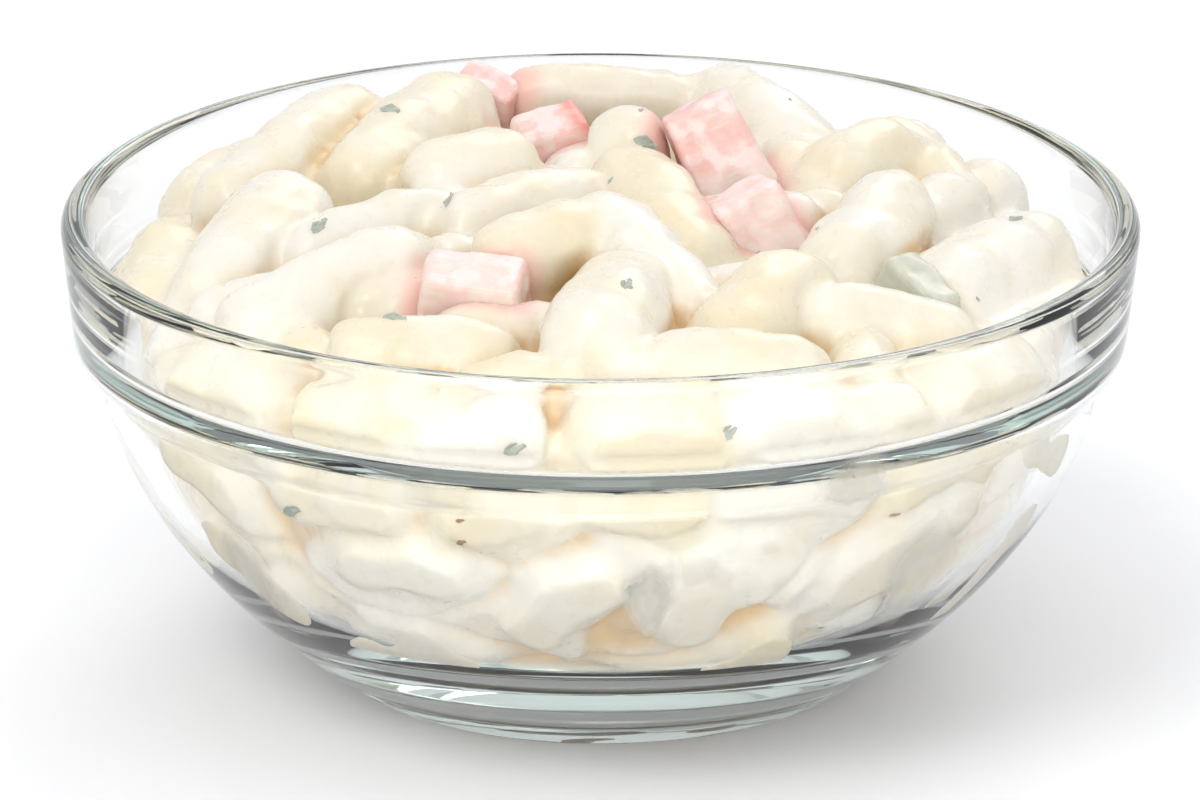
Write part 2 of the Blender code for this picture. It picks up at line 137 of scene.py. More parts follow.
# Pepper specks against the glass, as (angle, height) in degrees and mm
WALL_SPECKS: list[Pair] = [
    (-106, 34.4), (-106, 31.8), (-53, 31.5), (-48, 19.3), (-57, 16.7), (-154, 20.0), (100, 30.0), (35, 24.0),
]

# Soft boxes, as (name, place in metres, side in metres, power in watts)
SOFT_BOXES: list[tuple[str, Triple, float, float]] = [
    ("key_box", (-0.4, -0.45, 0.85), 0.42, 2.7),
    ("front_box", (0.1, -0.92, 0.32), 0.6, 3.4),
    ("back_box", (0.3, 0.75, 0.7), 0.5, 2.0),
]


def linear(code: str) -> tuple[float, float, float, float]:
    """Linear colour of an sRGB hex code.

    Args:
        code: six hex digits.

    Returns:
        Red, green, blue and an alpha of 1.
    """
    values = [int(code[i : i + 2], 16) / 255 for i in (0, 2, 4)]
    red, green, blue = [v / 12.92 if v <= 0.04045 else ((v + 0.055) / 1.055) ** 2.4 for v in values]
    return (red, green, blue, 1.0)


def add_node(
    tree: bpy.types.NodeTree, kind: str, wires: dict[Any, Any] | None = None, **settings: Any
) -> Any:
    """Adds a node with its settings and links.

    Args:
        tree: the material's or the world's node tree.
        kind: Blender's name of the node.
        wires: for each input, the socket that feeds it or its value.
        settings: properties of the node itself.

    Returns:
        The new node.
    """
    node = tree.nodes.new(kind)
    for key, value in settings.items():
        setattr(node, key, value)
    for key, value in (wires or {}).items():
        if isinstance(value, bpy.types.NodeSocket):
            tree.links.new(value, node.inputs[key])
        else:
            node.inputs[key].default_value = value
    return node


def blend_colours(tree: bpy.types.NodeTree, share: Any, first: Any, second: Any) -> Any:
    """Mixes two colours by a share and gives the socket of the result."""
    return add_node(tree, "ShaderNodeMix", {0: share, 6: first, 7: second}, data_type="RGBA").outputs[2]


def new_material(name: str) -> tuple[bpy.types.Material, bpy.types.NodeTree, Any]:
    """Starts a material.

    Args:
        name: the finish in a maker's words.

    Returns:
        The material, its emptied node tree and its output node.
    """
    made = bpy.data.materials.new(name)
    made.use_nodes = True
    made.node_tree.nodes.clear()
    return made, made.node_tree, made.node_tree.nodes.new("ShaderNodeOutputMaterial")


def deselect_all() -> None:
    """Goes back to object mode and drops every selection."""
    if bpy.context.mode != "OBJECT":
        bpy.ops.object.mode_set(mode="OBJECT")
    bpy.ops.object.select_all(action="DESELECT")


def take(piece: bpy.types.Object) -> bpy.types.Object:
    """Makes a piece the only selected and active one.

    Args:
        piece: the piece.

    Returns:
        The same piece.
    """
    deselect_all()
    piece.select_set(True)
    bpy.context.view_layer.objects.active = piece
    return piece


def start_piece(name: str) -> bpy.types.Object:
    """Names the primitive that was just added.

    Args:
        name: its name.

    Returns:
        The new piece.
    """
    piece = bpy.context.active_object
    piece.name = name
    piece.data.name = name
    return piece


def settle(piece: bpy.types.Object) -> None:
    """Puts a piece's place, turn and scale into its mesh."""
    take(piece)
    bpy.ops.object.transform_apply(location=True, rotation=True, scale=True)


def apply_modifier(piece: bpy.types.Object, kind: str, **settings: Any) -> None:
    """Adds one modifier to a piece and applies it.

    Args:
        piece: the piece.
        kind: Blender's name of the modifier.
        settings: properties of the modifier.
    """
    take(piece)
    modifier = piece.modifiers.new(kind.title(), kind)
    for key, value in settings.items():
        setattr(modifier, key, value)
    bpy.ops.object.modifier_apply(modifier=modifier.name)


def close_and_turn_out(piece: bpy.types.Object, merge: float) -> None:
    """Merges doubles of a closed shell and points its faces outwards.

    Args:
        piece: the shell.
        merge: distance below which two points become one.
    """
    take(piece)
    bpy.ops.object.mode_set(mode="EDIT")
    bpy.ops.mesh.select_all(action="SELECT")
    bpy.ops.mesh.remove_doubles(threshold=merge)
    bpy.ops.mesh.normals_make_consistent(inside=False)
    bpy.ops.object.mode_set(mode="OBJECT")


def pick_faces(piece: bpy.types.Object, wanted: Callable[[Vector, Vector], bool]) -> None:
    """Selects, in edit mode, only the faces that pass a test.

    Args:
        piece: the object in edit mode.
        wanted: a test of a face's centre and normal.
    """
    bpy.ops.mesh.select_mode(type="FACE")
    mesh = bmesh.from_edit_mesh(piece.data)
    for face in mesh.faces:
        face.select_set(wanted(face.calc_center_median(), face.normal))
    mesh.select_flush_mode()
    bmesh.update_edit_mesh(piece.data)


def copy_piece(piece: bpy.types.Object, name: str) -> bpy.types.Object:
    """Copies a piece with a mesh of its own.

    Args:
        piece: the piece.
        name: the copy's name.

    Returns:
        The copy.
    """
    made = piece.copy()
    made.data = piece.data.copy()
    made.name = name
    bpy.context.scene.collection.objects.link(made)
    return made


def join_pieces(pieces: Sequence[bpy.types.Object], name: str) -> bpy.types.Object:
    """Joins pieces into the first of them.

    Args:
        pieces: the pieces.
        name: the name of the whole.

    Returns:
        The joined piece.
    """
    deselect_all()
    for piece in pieces:
        piece.select_set(True)
    bpy.context.view_layer.objects.active = pieces[0]
    bpy.ops.object.join()
    return start_piece(name)


def read_points(piece: bpy.types.Object) -> np.ndarray:
    """Places of a piece's vertices, one row each.

    Args:
        piece: the piece.

    Returns:
        The places, in its own axes.
    """
    found = np.empty(len(piece.data.vertices) * 3)
    piece.data.vertices.foreach_get("co", found)
    return found.reshape(-1, 3)


def read_normals(piece: bpy.types.Object) -> np.ndarray:
    """Directions of a piece's vertices, one row each.

    Args:
        piece: the piece.

    Returns:
        The directions, of length 1.
    """
    found = np.empty(len(piece.data.vertices) * 3)
    piece.data.vertex_normals.foreach_get("vector", found)
    return found.reshape(-1, 3)


def write_points(piece: bpy.types.Object, points: np.ndarray) -> None:
    """Moves a piece's vertices."""
    piece.data.vertices.foreach_set("co", points.astype(np.float32).ravel())
    piece.data.update()


def store(piece: bpy.types.Object, name: str, values: np.ndarray) -> None:
    """Keeps one number for each vertex as an attribute that a material reads."""
    kept = piece.data.attributes.new(name, "FLOAT", "POINT")
    kept.data.foreach_set("value", values.astype(np.float32))


def ease(values: np.ndarray, low: float, high: float) -> np.ndarray:
    """Soft step from 0 at low to 1 at high."""
    share = np.clip((values - low) / (high - low), 0, 1)
    return share * share * (3 - 2 * share)


def lumps(points: np.ndarray, size: float, seed: float) -> np.ndarray:
    """Smooth noise between -1 and 1 at each point.

    Args:
        points: one row for each point.
        size: distance over which the noise changes.
        seed: shift of the noise field.

    Returns:
        One number for each point.
    """
    shift = Vector((seed, seed * 0.7, seed * 1.3))
    return np.array([noise.noise(Vector(p) / size + shift) for p in points])


def curve_points(pulls: Sequence[Vector], count: int) -> list[Vector]:
    """Points along a cubic curve, without its first one.

    Args:
        pulls: the curve's two ends, with its two pulls between them.
        count: number of points.

    Returns:
        The points.
    """
    a, b, c, d = pulls
    found = []
    for i in range(1, count + 1):
        t = i / count
        s = 1 - t
        found.append(a * s**3 + b * (3 * t * s * s) + c * (3 * t * t * s) + d * t**3)
    return found


def arc_points(centre: Vector, radius: float, start: float, end: float, count: int) -> list[Vector]:
    """Points along an arc between two angles in degrees.

    Args:
        centre: middle of the arc.
        radius: its radius.
        start: its first angle.
        end: its last angle.
        count: number of steps.

    Returns:
        The points, both ends included.
    """
    step = (end - start) / count
    turns = [math.radians(start + i * step) for i in range(count + 1)]
    return [centre + Vector((math.cos(a), math.sin(a))) * radius for a in turns]


def soft_corner(before: Vector, corner: Vector, after: Vector, cut: float, count: int = 5) -> list[Vector]:
    """Rounds one corner of an outline.

    Args:
        before: the point that the outline comes from.
        corner: the sharp corner.
        after: the point that the outline goes to.
        cut: how far from the corner the rounding starts.
        count: number of steps in the rounding.

    Returns:
        The points that take the corner's place.
    """
    a = corner + (before - corner).normalized() * cut
    c = corner + (after - corner).normalized() * cut
    shares = [i / count for i in range(count + 1)]
    return [a * (1 - t) ** 2 + corner * (2 * t * (1 - t)) + c * t**2 for t in shares]


def read_attribute(tree: bpy.types.NodeTree, name: str, kind: str = "Fac") -> Any:
    """Gives the socket of an attribute that a mesh carries."""
    return add_node(tree, "ShaderNodeAttribute", attribute_name=name).outputs[kind]


def add_noise(tree: bpy.types.NodeTree, place: Any, size_mm: float, detail: float = 2.0) -> Any:
    """Adds a noise of a real size.

    Args:
        tree: the material's node tree.
        place: the socket with the coordinates.
        size_mm: size of one spot in mm.
        detail: number of finer layers in it.

    Returns:
        The socket of the noise, from 0 to 1.
    """
    wires = {"Vector": place, "Scale": 1 / (size_mm * MM), "Detail": detail}
    return add_node(tree, "ShaderNodeTexNoise", wires).outputs["Fac"]


def map_range(tree: bpy.types.NodeTree, value: Any, given: Pair, wanted: Pair = (0.0, 1.0)) -> Any:
    """Maps one range of a value to another, and holds it at both ends.

    Args:
        tree: the node tree.
        value: the socket of the value.
        given: the range that it is taken from.
        wanted: the range that it is brought to.

    Returns:
        The socket of the result.
    """
    wires = {0: value, 1: given[0], 2: given[1], 3: wanted[0], 4: wanted[1]}
    return add_node(tree, "ShaderNodeMapRange", wires).outputs[0]


def add_clamped(tree: bpy.types.NodeTree, first: Any, second: Any) -> Any:
    """Adds two values and keeps the sum between 0 and 1."""
    return add_node(tree, "ShaderNodeMath", {0: first, 1: second}, operation="ADD", use_clamp=True).outputs[0]


def add_bump(tree: bpy.types.NodeTree, height: Any, bump: Pair, under: Any = None) -> Any:
    """Makes a surface look uneven.

    Args:
        tree: the material's node tree.
        height: the socket of the height.
        bump: its strength, and its depth in mm.
        under: the socket of another bump that lies under it.

    Returns:
        The socket of the surface's direction.
    """
    wires = {"Height": height, "Strength": bump[0], "Distance": bump[1] * MM}
    if under is not None:
        wires["Normal"] = under
    return add_node(tree, "ShaderNodeBump", wires).outputs[0]


@dataclass(frozen=True)
class InnerLight:
    """Light that spreads inside soft food, so that it looks moist and not painted."""

    weight: float
    reach: Triple
    depth_mm: float


def add_surface(
    tree: bpy.types.NodeTree, out: Any, wires: dict[str, Any], inner: InnerLight | None = None
) -> None:
    """Adds the surface of a finish.

    Args:
        tree: the material's node tree.
        out: its output node.
        wires: inputs of the surface.
        inner: the light inside it. It spreads by the quicker of the renderer's ways.
    """
    settings = {}
    if inner is not None:
        wires = wires | {
            "Subsurface Weight": inner.weight,
            "Subsurface Radius": inner.reach,
            "Subsurface Scale": inner.depth_mm * MM,
        }
        settings["subsurface_method"] = "BURLEY"
    shader = add_node(tree, "ShaderNodeBsdfPrincipled", wires, **settings)
    tree.links.new(shader.outputs[0], out.inputs["Surface"])


@dataclass(frozen=True)
class PressedGlass:
    """Soda-lime glass, pressed and fire polished: clear, mirror smooth, faintly green along thick edges."""

    tint: str = "FEFEFE"
    depth_tint: str = "D5EEE4"
    depth_density: float = 8.0
    ior: float = 1.51

    def make(self) -> bpy.types.Material:
        """Builds the glass, which lets light through to what it holds.

        Returns:
            The material.
        """
        made, tree, out = new_material("pressed soda-lime glass")
        tint = linear(self.tint)
        wires = {"Base Color": tint, "Roughness": 0.0, "IOR": self.ior, "Transmission Weight": 1.0}
        glass = add_node(tree, "ShaderNodeBsdfPrincipled", wires)
        clear = add_node(tree, "ShaderNodeBsdfTransparent", {"Color": tint})
        shadow = add_node(tree, "ShaderNodeLightPath").outputs["Is Shadow Ray"]
        shown = add_node(tree, "ShaderNodeMixShader", {0: shadow, 1: glass.outputs[0], 2: clear.outputs[0]})
        tree.links.new(shown.outputs[0], out.inputs["Surface"])
        wires = {"Color": linear(self.depth_tint), "Density": self.depth_density}
        depth = add_node(tree, "ShaderNodeVolumeAbsorption", wires)
        tree.links.new(depth.outputs[0], out.inputs["Volume"])
        return made


@dataclass(frozen=True)
class DressedPasta:
    """Boiled durum pasta in mayonnaise: an opaque, wet ivory that thins to yellow, with warm yellow-brown
    shade painted into its gaps.
    """

    cream: str = "EDE8DC"
    pasta: str = "E9DCBC"
    # Painted shade: this warm yellow-brown stands in for shade and bounced light in the gaps between elbows;
    # the share below says how much goes in.
    amber: str = "D3A658"
    blush: str = "F0B4A8"
    amber_share: float = 0.75
    blotch_mm: float = 8.0
    blotch_detail: float = 3.0
    blotch_edges: Pair = (0.38, 0.62)
    blotch_coat: Pair = (-0.2, 0.25)
    lump_mm: float = 2.4
    lump_bump: Pair = (0.25, 0.3)
    curd_mm: float = 0.7
    curd_bump: Pair = (0.06, 0.1)
    roughness: Pair = (0.19, 0.39)
    ior: float = 1.45
    inner: InnerLight = InnerLight(0.45, (1.0, 0.92, 0.74), 1.6)

    def make(self) -> bpy.types.Material:
        """Builds the cream from the heap's coat and blush attributes, and paints warm yellow-brown shade into
        its gaps from a painted-shade attribute.

        Returns:
            The material.
        """
        made, tree, out = new_material("mayonnaise over boiled pasta")
        place = add_node(tree, "ShaderNodeTexCoord").outputs["Object"]
        blotch = add_noise(tree, place, self.blotch_mm, self.blotch_detail)
        patchy = map_range(tree, blotch, self.blotch_edges, self.blotch_coat)
        thick = add_clamped(tree, read_attribute(tree, "coat"), patchy)
        body = blend_colours(tree, thick, linear(self.pasta), linear(self.cream))
        # Painted shade: warm yellow-brown mixed in where the heap's painted-shade attribute marks sheltered
        # gaps.
        wires = {0: read_attribute(tree, "crevice"), 1: self.amber_share}
        glow = add_node(tree, "ShaderNodeMath", wires, operation="MULTIPLY")
        body = blend_colours(tree, glow.outputs[0], body, linear(self.amber))
        body = blend_colours(tree, read_attribute(tree, "blush"), body, linear(self.blush))
        lump = add_noise(tree, place, self.lump_mm)
        curd = add_noise(tree, place, self.curd_mm)
        soft = add_bump(tree, lump, self.lump_bump)
        wires = {
            "Base Color": body,
            "Roughness": map_range(tree, lump, (0.0, 1.0), self.roughness),
            "IOR": self.ior,
            "Normal": add_bump(tree, curd, self.curd_bump, soft),
        }
        add_surface(tree, out, wires, self.inner)
        return made


@dataclass(frozen=True)
class CrabStick:
    """Surimi block: pressed white fish fibres, dyed pink on the skin side, moist under smeared cream."""

    skin: str = "E98475"
    pink: str = "F0AAA0"
    white: str = "F3DFD8"
    cream: str = "EDE8DC"
    fibre_mm: float = 0.8
    fibre_detail: float = 3.0
    fibre_stretch: Triple = (0.18, 1.0, 1.0)
    fibre_edges: Pair = (0.45, 0.7)
    fibre_share: Pair = (0.0, 0.45)
    fibre_bump: Pair = (0.4, 0.25)
    mottle_mm: float = 3.2
    mottle_detail: float = 4.0
    dye_edges: Pair = (0.42, 0.58)
    smear_edges: Pair = (0.42, 0.6)
    smear_change: Pair = (-0.35, 0.35)
    roughness: float = 0.34
    ior: float = 1.42
    inner: InnerLight = InnerLight(0.35, (1.0, 0.45, 0.35), 1.4)

    def make(self) -> bpy.types.Material:
        """Builds the block from its grain, skin and smear attributes.

        Returns:
            The material.
        """
        made, tree, out = new_material("surimi with pink skin")
        grain = read_attribute(tree, "grain", "Vector")
        wires = {"Vector": grain, "Scale": self.fibre_stretch}
        stretched = add_node(tree, "ShaderNodeMapping", wires).outputs[0]
        fibre = add_noise(tree, stretched, self.fibre_mm, self.fibre_detail)
        mottle = add_noise(tree, grain, self.mottle_mm, self.mottle_detail)
        dyed = map_range(tree, mottle, self.dye_edges)
        body = blend_colours(tree, dyed, linear(self.white), linear(self.pink))
        threads = map_range(tree, fibre, self.fibre_edges, self.fibre_share)
        body = blend_colours(tree, threads, body, linear(self.white))
        body = blend_colours(tree, read_attribute(tree, "skin"), body, linear(self.skin))
        spread = map_range(tree, mottle, self.smear_edges, self.smear_change)
        covered = add_clamped(tree, read_attribute(tree, "smear"), spread)
        wires = {
            "Base Color": blend_colours(tree, covered, body, linear(self.cream)),
            "Roughness": self.roughness,
            "IOR": self.ior,
            "Normal": add_bump(tree, fibre, self.fibre_bump),
        }
        add_surface(tree, out, wires, self.inner)
        return made


@dataclass(frozen=True)
class PickledCucumber:
    """Pickled cucumber: watery, half clear grey-green flesh that shines wet."""

    flesh: str = "C6C8B4"
    rind: str = "959B84"
    cream: str = "EDE8DC"
    vein_mm: float = 1.8
    vein_detail: float = 3.0
    vein_edges: Pair = (0.35, 0.65)
    vein_share: Pair = (0.0, 0.6)
    roughness: float = 0.2
    ior: float = 1.36
    inner: InnerLight = InnerLight(0.5, (0.8, 1.0, 0.5), 2.0)

    def make(self) -> bpy.types.Material:
        """Builds the flesh, darker towards the rind side that the skin attribute gives.

        Returns:
            The material.
        """
        made, tree, out = new_material("pickled cucumber")
        cells = add_noise(tree, read_attribute(tree, "grain", "Vector"), self.vein_mm, self.vein_detail)
        veins = map_range(tree, cells, self.vein_edges, self.vein_share)
        body = blend_colours(tree, veins, linear(self.flesh), linear(self.rind))
        body = blend_colours(tree, read_attribute(tree, "skin"), body, linear(self.rind))
        body = blend_colours(tree, read_attribute(tree, "smear"), body, linear(self.cream))
        wires = {"Base Color": body, "Roughness": self.roughness, "IOR": self.ior}
        add_surface(tree, out, wires, self.inner)
        return made


@dataclass(frozen=True)
class DriedDill:
    """Chopped dried dill, soaked: dull grey-green scraps with darker veins."""

    light: str = "C6CABB"
    dark: str = "8C9488"
    vein_mm: float = 0.5
    roughness: float = 0.45
    ior: float = 1.4

    def make(self) -> bpy.types.Material:
        """Builds the herb's mottled green.

        Returns:
            The material.
        """
        made, tree, out = new_material("soaked dill")
        place = add_node(tree, "ShaderNodeTexCoord").outputs["Object"]
        veins = add_noise(tree, place, self.vein_mm)
        body = blend_colours(tree, veins, linear(self.dark), linear(self.light))
        add_surface(tree, out, {"Base Color": body, "Roughness": self.roughness, "IOR": self.ior})
        return made


@dataclass(frozen=True)
class GroundPepper:
    """Ground pepper soaked in the cream: tan-brown specks, dull at their edges."""

    light: str = "B89A74"
    dark: str = "8A6A4A"
    grit_mm: float = 0.3
    roughness: float = 0.5
    ior: float = 1.4

    def make(self) -> bpy.types.Material:
        """Builds the speckled brown.

        Returns:
            The material.
        """
        made, tree, out = new_material("soaked pepper")
        place = add_node(tree, "ShaderNodeTexCoord").outputs["Object"]
        grit = add_noise(tree, place, self.grit_mm)
        body = blend_colours(tree, grit, linear(self.dark), linear(self.light))
        add_surface(tree, out, {"Base Color": body, "Roughness": self.roughness, "IOR": self.ior})
        return made


@dataclass(frozen=True)
class MayonnaiseFilm:
    """A thin wet smear of mayonnaise on glass: milky, a little see-through at its edge."""

    cream: str = "EFEBE0"
    pool: str = "EADFC2"
    pool_mm: float = 4.0
    pool_edges: Pair = (0.45, 0.7)
    thick_cover: float = 0.75
    thickest: float = 0.7
    roughness: float = 0.3
    ior: float = 1.45

    def make(self) -> bpy.types.Material:
        """Builds the smear with slightly yellower pools.

        Returns:
            The material.
        """
        made, tree, out = new_material("mayonnaise smear")
        place = add_node(tree, "ShaderNodeTexCoord").outputs["Object"]
        share = map_range(tree, add_noise(tree, place, self.pool_mm), self.pool_edges)
        cover = read_attribute(tree, "cover")
        wires = {
            "Base Color": blend_colours(tree, share, linear(self.cream), linear(self.pool)),
            "Roughness": self.roughness,
            "IOR": self.ior,
            "Alpha": map_range(tree, cover, (0.0, self.thick_cover), (0.0, self.thickest)),
        }
        add_surface(tree, out, wires)
        return made


@dataclass
class StackingBowl:
    """Thick pressed glass bowl with a stacking ledge and an upright band under its rim."""

    rim_radius: float = 60.0 * MM
    height: float = 52.4 * MM
    lip_radius: float = 1.45 * MM
    band_foot: Vector = field(default_factory=lambda: Vector((58.7, 37.8)) * MM)
    step: Vector = field(default_factory=lambda: Vector((56.1, 35.4)) * MM)
    body_pull_top: Vector = field(default_factory=lambda: Vector((-1.9, -15.4)) * MM)
    body_pull_base: Vector = field(default_factory=lambda: Vector((10.9, 7.8)) * MM)
    base_radius: float = 30.0 * MM
    ring_width: float = 3.5 * MM
    recess: float = 0.7 * MM
    inner_rim_radius: float = 57.0 * MM
    ledge_top: Vector = field(default_factory=lambda: Vector((55.9, 41.6)) * MM)
    ledge_foot: Vector = field(default_factory=lambda: Vector((53.3, 38.4)) * MM)
    inner_pull_top: Vector = field(default_factory=lambda: Vector((-1.2, -16.8)) * MM)
    inner_pull_base: Vector = field(default_factory=lambda: Vector((12.4, 4.5)) * MM)
    floor_radius: float = 27.0 * MM
    floor_height: float = 5.5 * MM
    floor_dish: float = 0.3 * MM
    soft_cut: float = 0.9 * MM
    wall_steps: int = 24
    lip_steps: int = 14
    turn_steps: int = 160
    smooth_angle: float = math.radians(45)
    merge: float = 0.002 * MM

    def inner_wall(self) -> list[Vector]:
        """Inside of the wall from the lip down to the edge of the floor, as (radius, height).

        Returns:
            The points in order.
        """
        lip_foot = Vector((self.inner_rim_radius, self.height - self.lip_radius))
        edge = Vector((self.floor_radius, self.floor_height))
        pulls = (self.ledge_foot, self.ledge_foot + self.inner_pull_top, edge + self.inner_pull_base, edge)
        return [lip_foot, self.ledge_top, self.ledge_foot] + curve_points(pulls, self.wall_steps)

    def outer_wall(self) -> list[Vector]:
        """Outside of the glass from the axis below up to the rim, as (radius, height).

        Returns:
            The points in order.
        """
        ring_inner = self.base_radius - self.ring_width
        edge = Vector((self.base_radius, 0))
        pulls = (edge, edge + self.body_pull_base, self.step + self.body_pull_top, self.step)
        body = curve_points(pulls, self.wall_steps)
        rim = Vector((self.rim_radius, self.height - self.lip_radius))
        recess_edge = Vector((ring_inner - self.recess, self.recess))
        start = [Vector((0, self.recess)), recess_edge, Vector((ring_inner, 0))]
        foot = soft_corner(start[-1], edge, body[0], self.soft_cut)
        shoulder = soft_corner(body[-2], self.step, self.band_foot, self.soft_cut / 2)
        band = soft_corner(self.step, self.band_foot, rim, self.soft_cut)
        return start + foot + body[:-1] + shoulder + band

    def outline(self) -> list[Vector]:
        """Whole half section of the glass, from the axis below to the axis above.

        Returns:
            The points in order.
        """
        lip_middle = Vector((self.rim_radius - self.lip_radius, self.height - self.lip_radius))
        lip = arc_points(lip_middle, self.lip_radius, 0, 180, self.lip_steps)
        lip_foot, ledge_top, ledge_foot, *wall = self.inner_wall()
        ledge = soft_corner(lip_foot, ledge_top, ledge_foot, self.soft_cut)
        ledge += soft_corner(ledge_top, ledge_foot, wall[0], self.soft_cut)
        floor_middle = Vector((0, self.floor_height - self.floor_dish))
        floor_edge = soft_corner(wall[-2], wall[-1], floor_middle, self.soft_cut)
        return self.outer_wall() + lip + ledge + wall[1:-1] + floor_edge + [floor_middle]

    def wall_radius(self, heights: np.ndarray) -> np.ndarray:
        """Radius of the inner wall at each height.

        Args:
            heights: the heights.

        Returns:
            One radius for each.
        """
        line = self.inner_wall()[::-1]
        return np.interp(heights, [p.y for p in line], [p.x for p in line])

    def wall_point(self, angle: float, height: float, depth: float) -> Vector:
        """Point at a depth inside the inner wall.

        Args:
            angle: degrees round the bowl.
            height: height on the wall.
            depth: distance from the wall towards the axis.

        Returns:
            The point.
        """
        line = self.inner_wall()
        below = next((i for i, p in enumerate(line) if p.y <= height), len(line) - 1)
        a, b = line[max(below - 1, 0)], line[max(below, 1)]
        share = min(max((a.y - height) / (a.y - b.y), 0), 1)
        spot = a.lerp(b, share)
        along = (b - a).normalized()
        spot = spot + Vector((along.y, -along.x)) * depth
        turn = math.radians(angle)
        return Vector((spot.x * math.cos(turn), spot.x * math.sin(turn), spot.y))

    def build(self) -> bpy.types.Object:
        """Draws the section point by point and turns it round the axis.

        Returns:
            The bowl.
        """
        line = self.outline()
        deselect_all()
        bpy.ops.mesh.primitive_plane_add(size=MM, location=(0, 0, 0))
        piece = start_piece("glass_bowl")
        bpy.ops.object.mode_set(mode="EDIT")
        bpy.ops.mesh.select_mode(type="VERT")
        bpy.ops.mesh.merge(type="CENTER")
        bpy.ops.transform.translate(value=(line[0].x, 0, line[0].y))
        for before, point in zip(line, line[1:]):
            move = (point.x - before.x, 0, point.y - before.y)
            bpy.ops.mesh.extrude_vertices_move(TRANSFORM_OT_translate={"value": move})
        bpy.ops.mesh.select_all(action="SELECT")
        bpy.ops.mesh.spin(steps=self.turn_steps, angle=math.tau, center=(0, 0, 0), axis=(0, 0, 1))
        close_and_turn_out(piece, self.merge)
        bpy.ops.object.shade_smooth_by_angle(angle=self.smooth_angle)
        return piece

    def dress(self, piece: bpy.types.Object) -> None:
        """Gives the bowl its glass and puts it in place of the node.

        Args:
            piece: the modelled bowl.
        """
        piece.data.materials.clear()
        piece.data.materials.append(PressedGlass().make())
        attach(piece, BODY)
        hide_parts("bowl")


@dataclass(frozen=True)
class Elbow:
    """One coated elbow: a bent tube with blunt ends at two places."""

    start: Vector
    end: Vector
    thickness: float
    bow: Vector
    roundness: float = 0.46

    def pulls(self) -> tuple[Vector, Vector, Vector]:
        """First tip, pull of the bend and last tip.

        Returns:
            The three points.
        """
        reach = (self.end - self.start).normalized() * self.thickness / 2
        a, c = self.start - reach, self.end + reach
        return a, ((self.start + self.end) / 2 + self.bow) * 2 - (a + c) / 2, c

    def cap_share(self) -> float:
        """Share of the elbow's length that one of its round ends takes."""
        a, _, c = self.pulls()
        return min(self.thickness * self.roundness / (c - a).length, self.roundness)

    def along(self, shares: np.ndarray) -> np.ndarray:
        """Points on the elbow's middle line.

        Args:
            shares: how far along it each point lies, from 0 to 1.

        Returns:
            One row for each point.
        """
        a, pull, c = (np.array(p) for p in self.pulls())
        t = shares[:, None]
        return a * (1 - t) ** 2 + pull * (2 * t * (1 - t)) + c * t**2

    def bend(self, rest: np.ndarray) -> np.ndarray:
        """Bends the straight elbow to its place.

        Args:
            rest: points of the straight elbow of radius 1, with its round ends at z from 0 to 1 and 2 to 3.

        Returns:
            The points in place.
        """
        a, pull, c = (np.array(p) for p in self.pulls())
        cap = self.cap_share()
        shares = np.interp(rest[:, 2], (0, 1, 2, 3), (0, cap, 1 - cap, 1))
        t = shares[:, None]
        slope = (pull - a) * (1 - t) + (c - pull) * t
        slope /= np.linalg.norm(slope, axis=1)[:, None]
        flat = Vector(pull - a).cross(Vector(c - a))
        if flat.length < STRAIGHT:
            flat = Vector(c - a).orthogonal()
        side = np.array(flat.normalized())
        other = np.cross(slope, side)
        radius = self.thickness / 2
        return self.along(shares) + (side * rest[:, :1] + other * rest[:, 1:2]) * radius


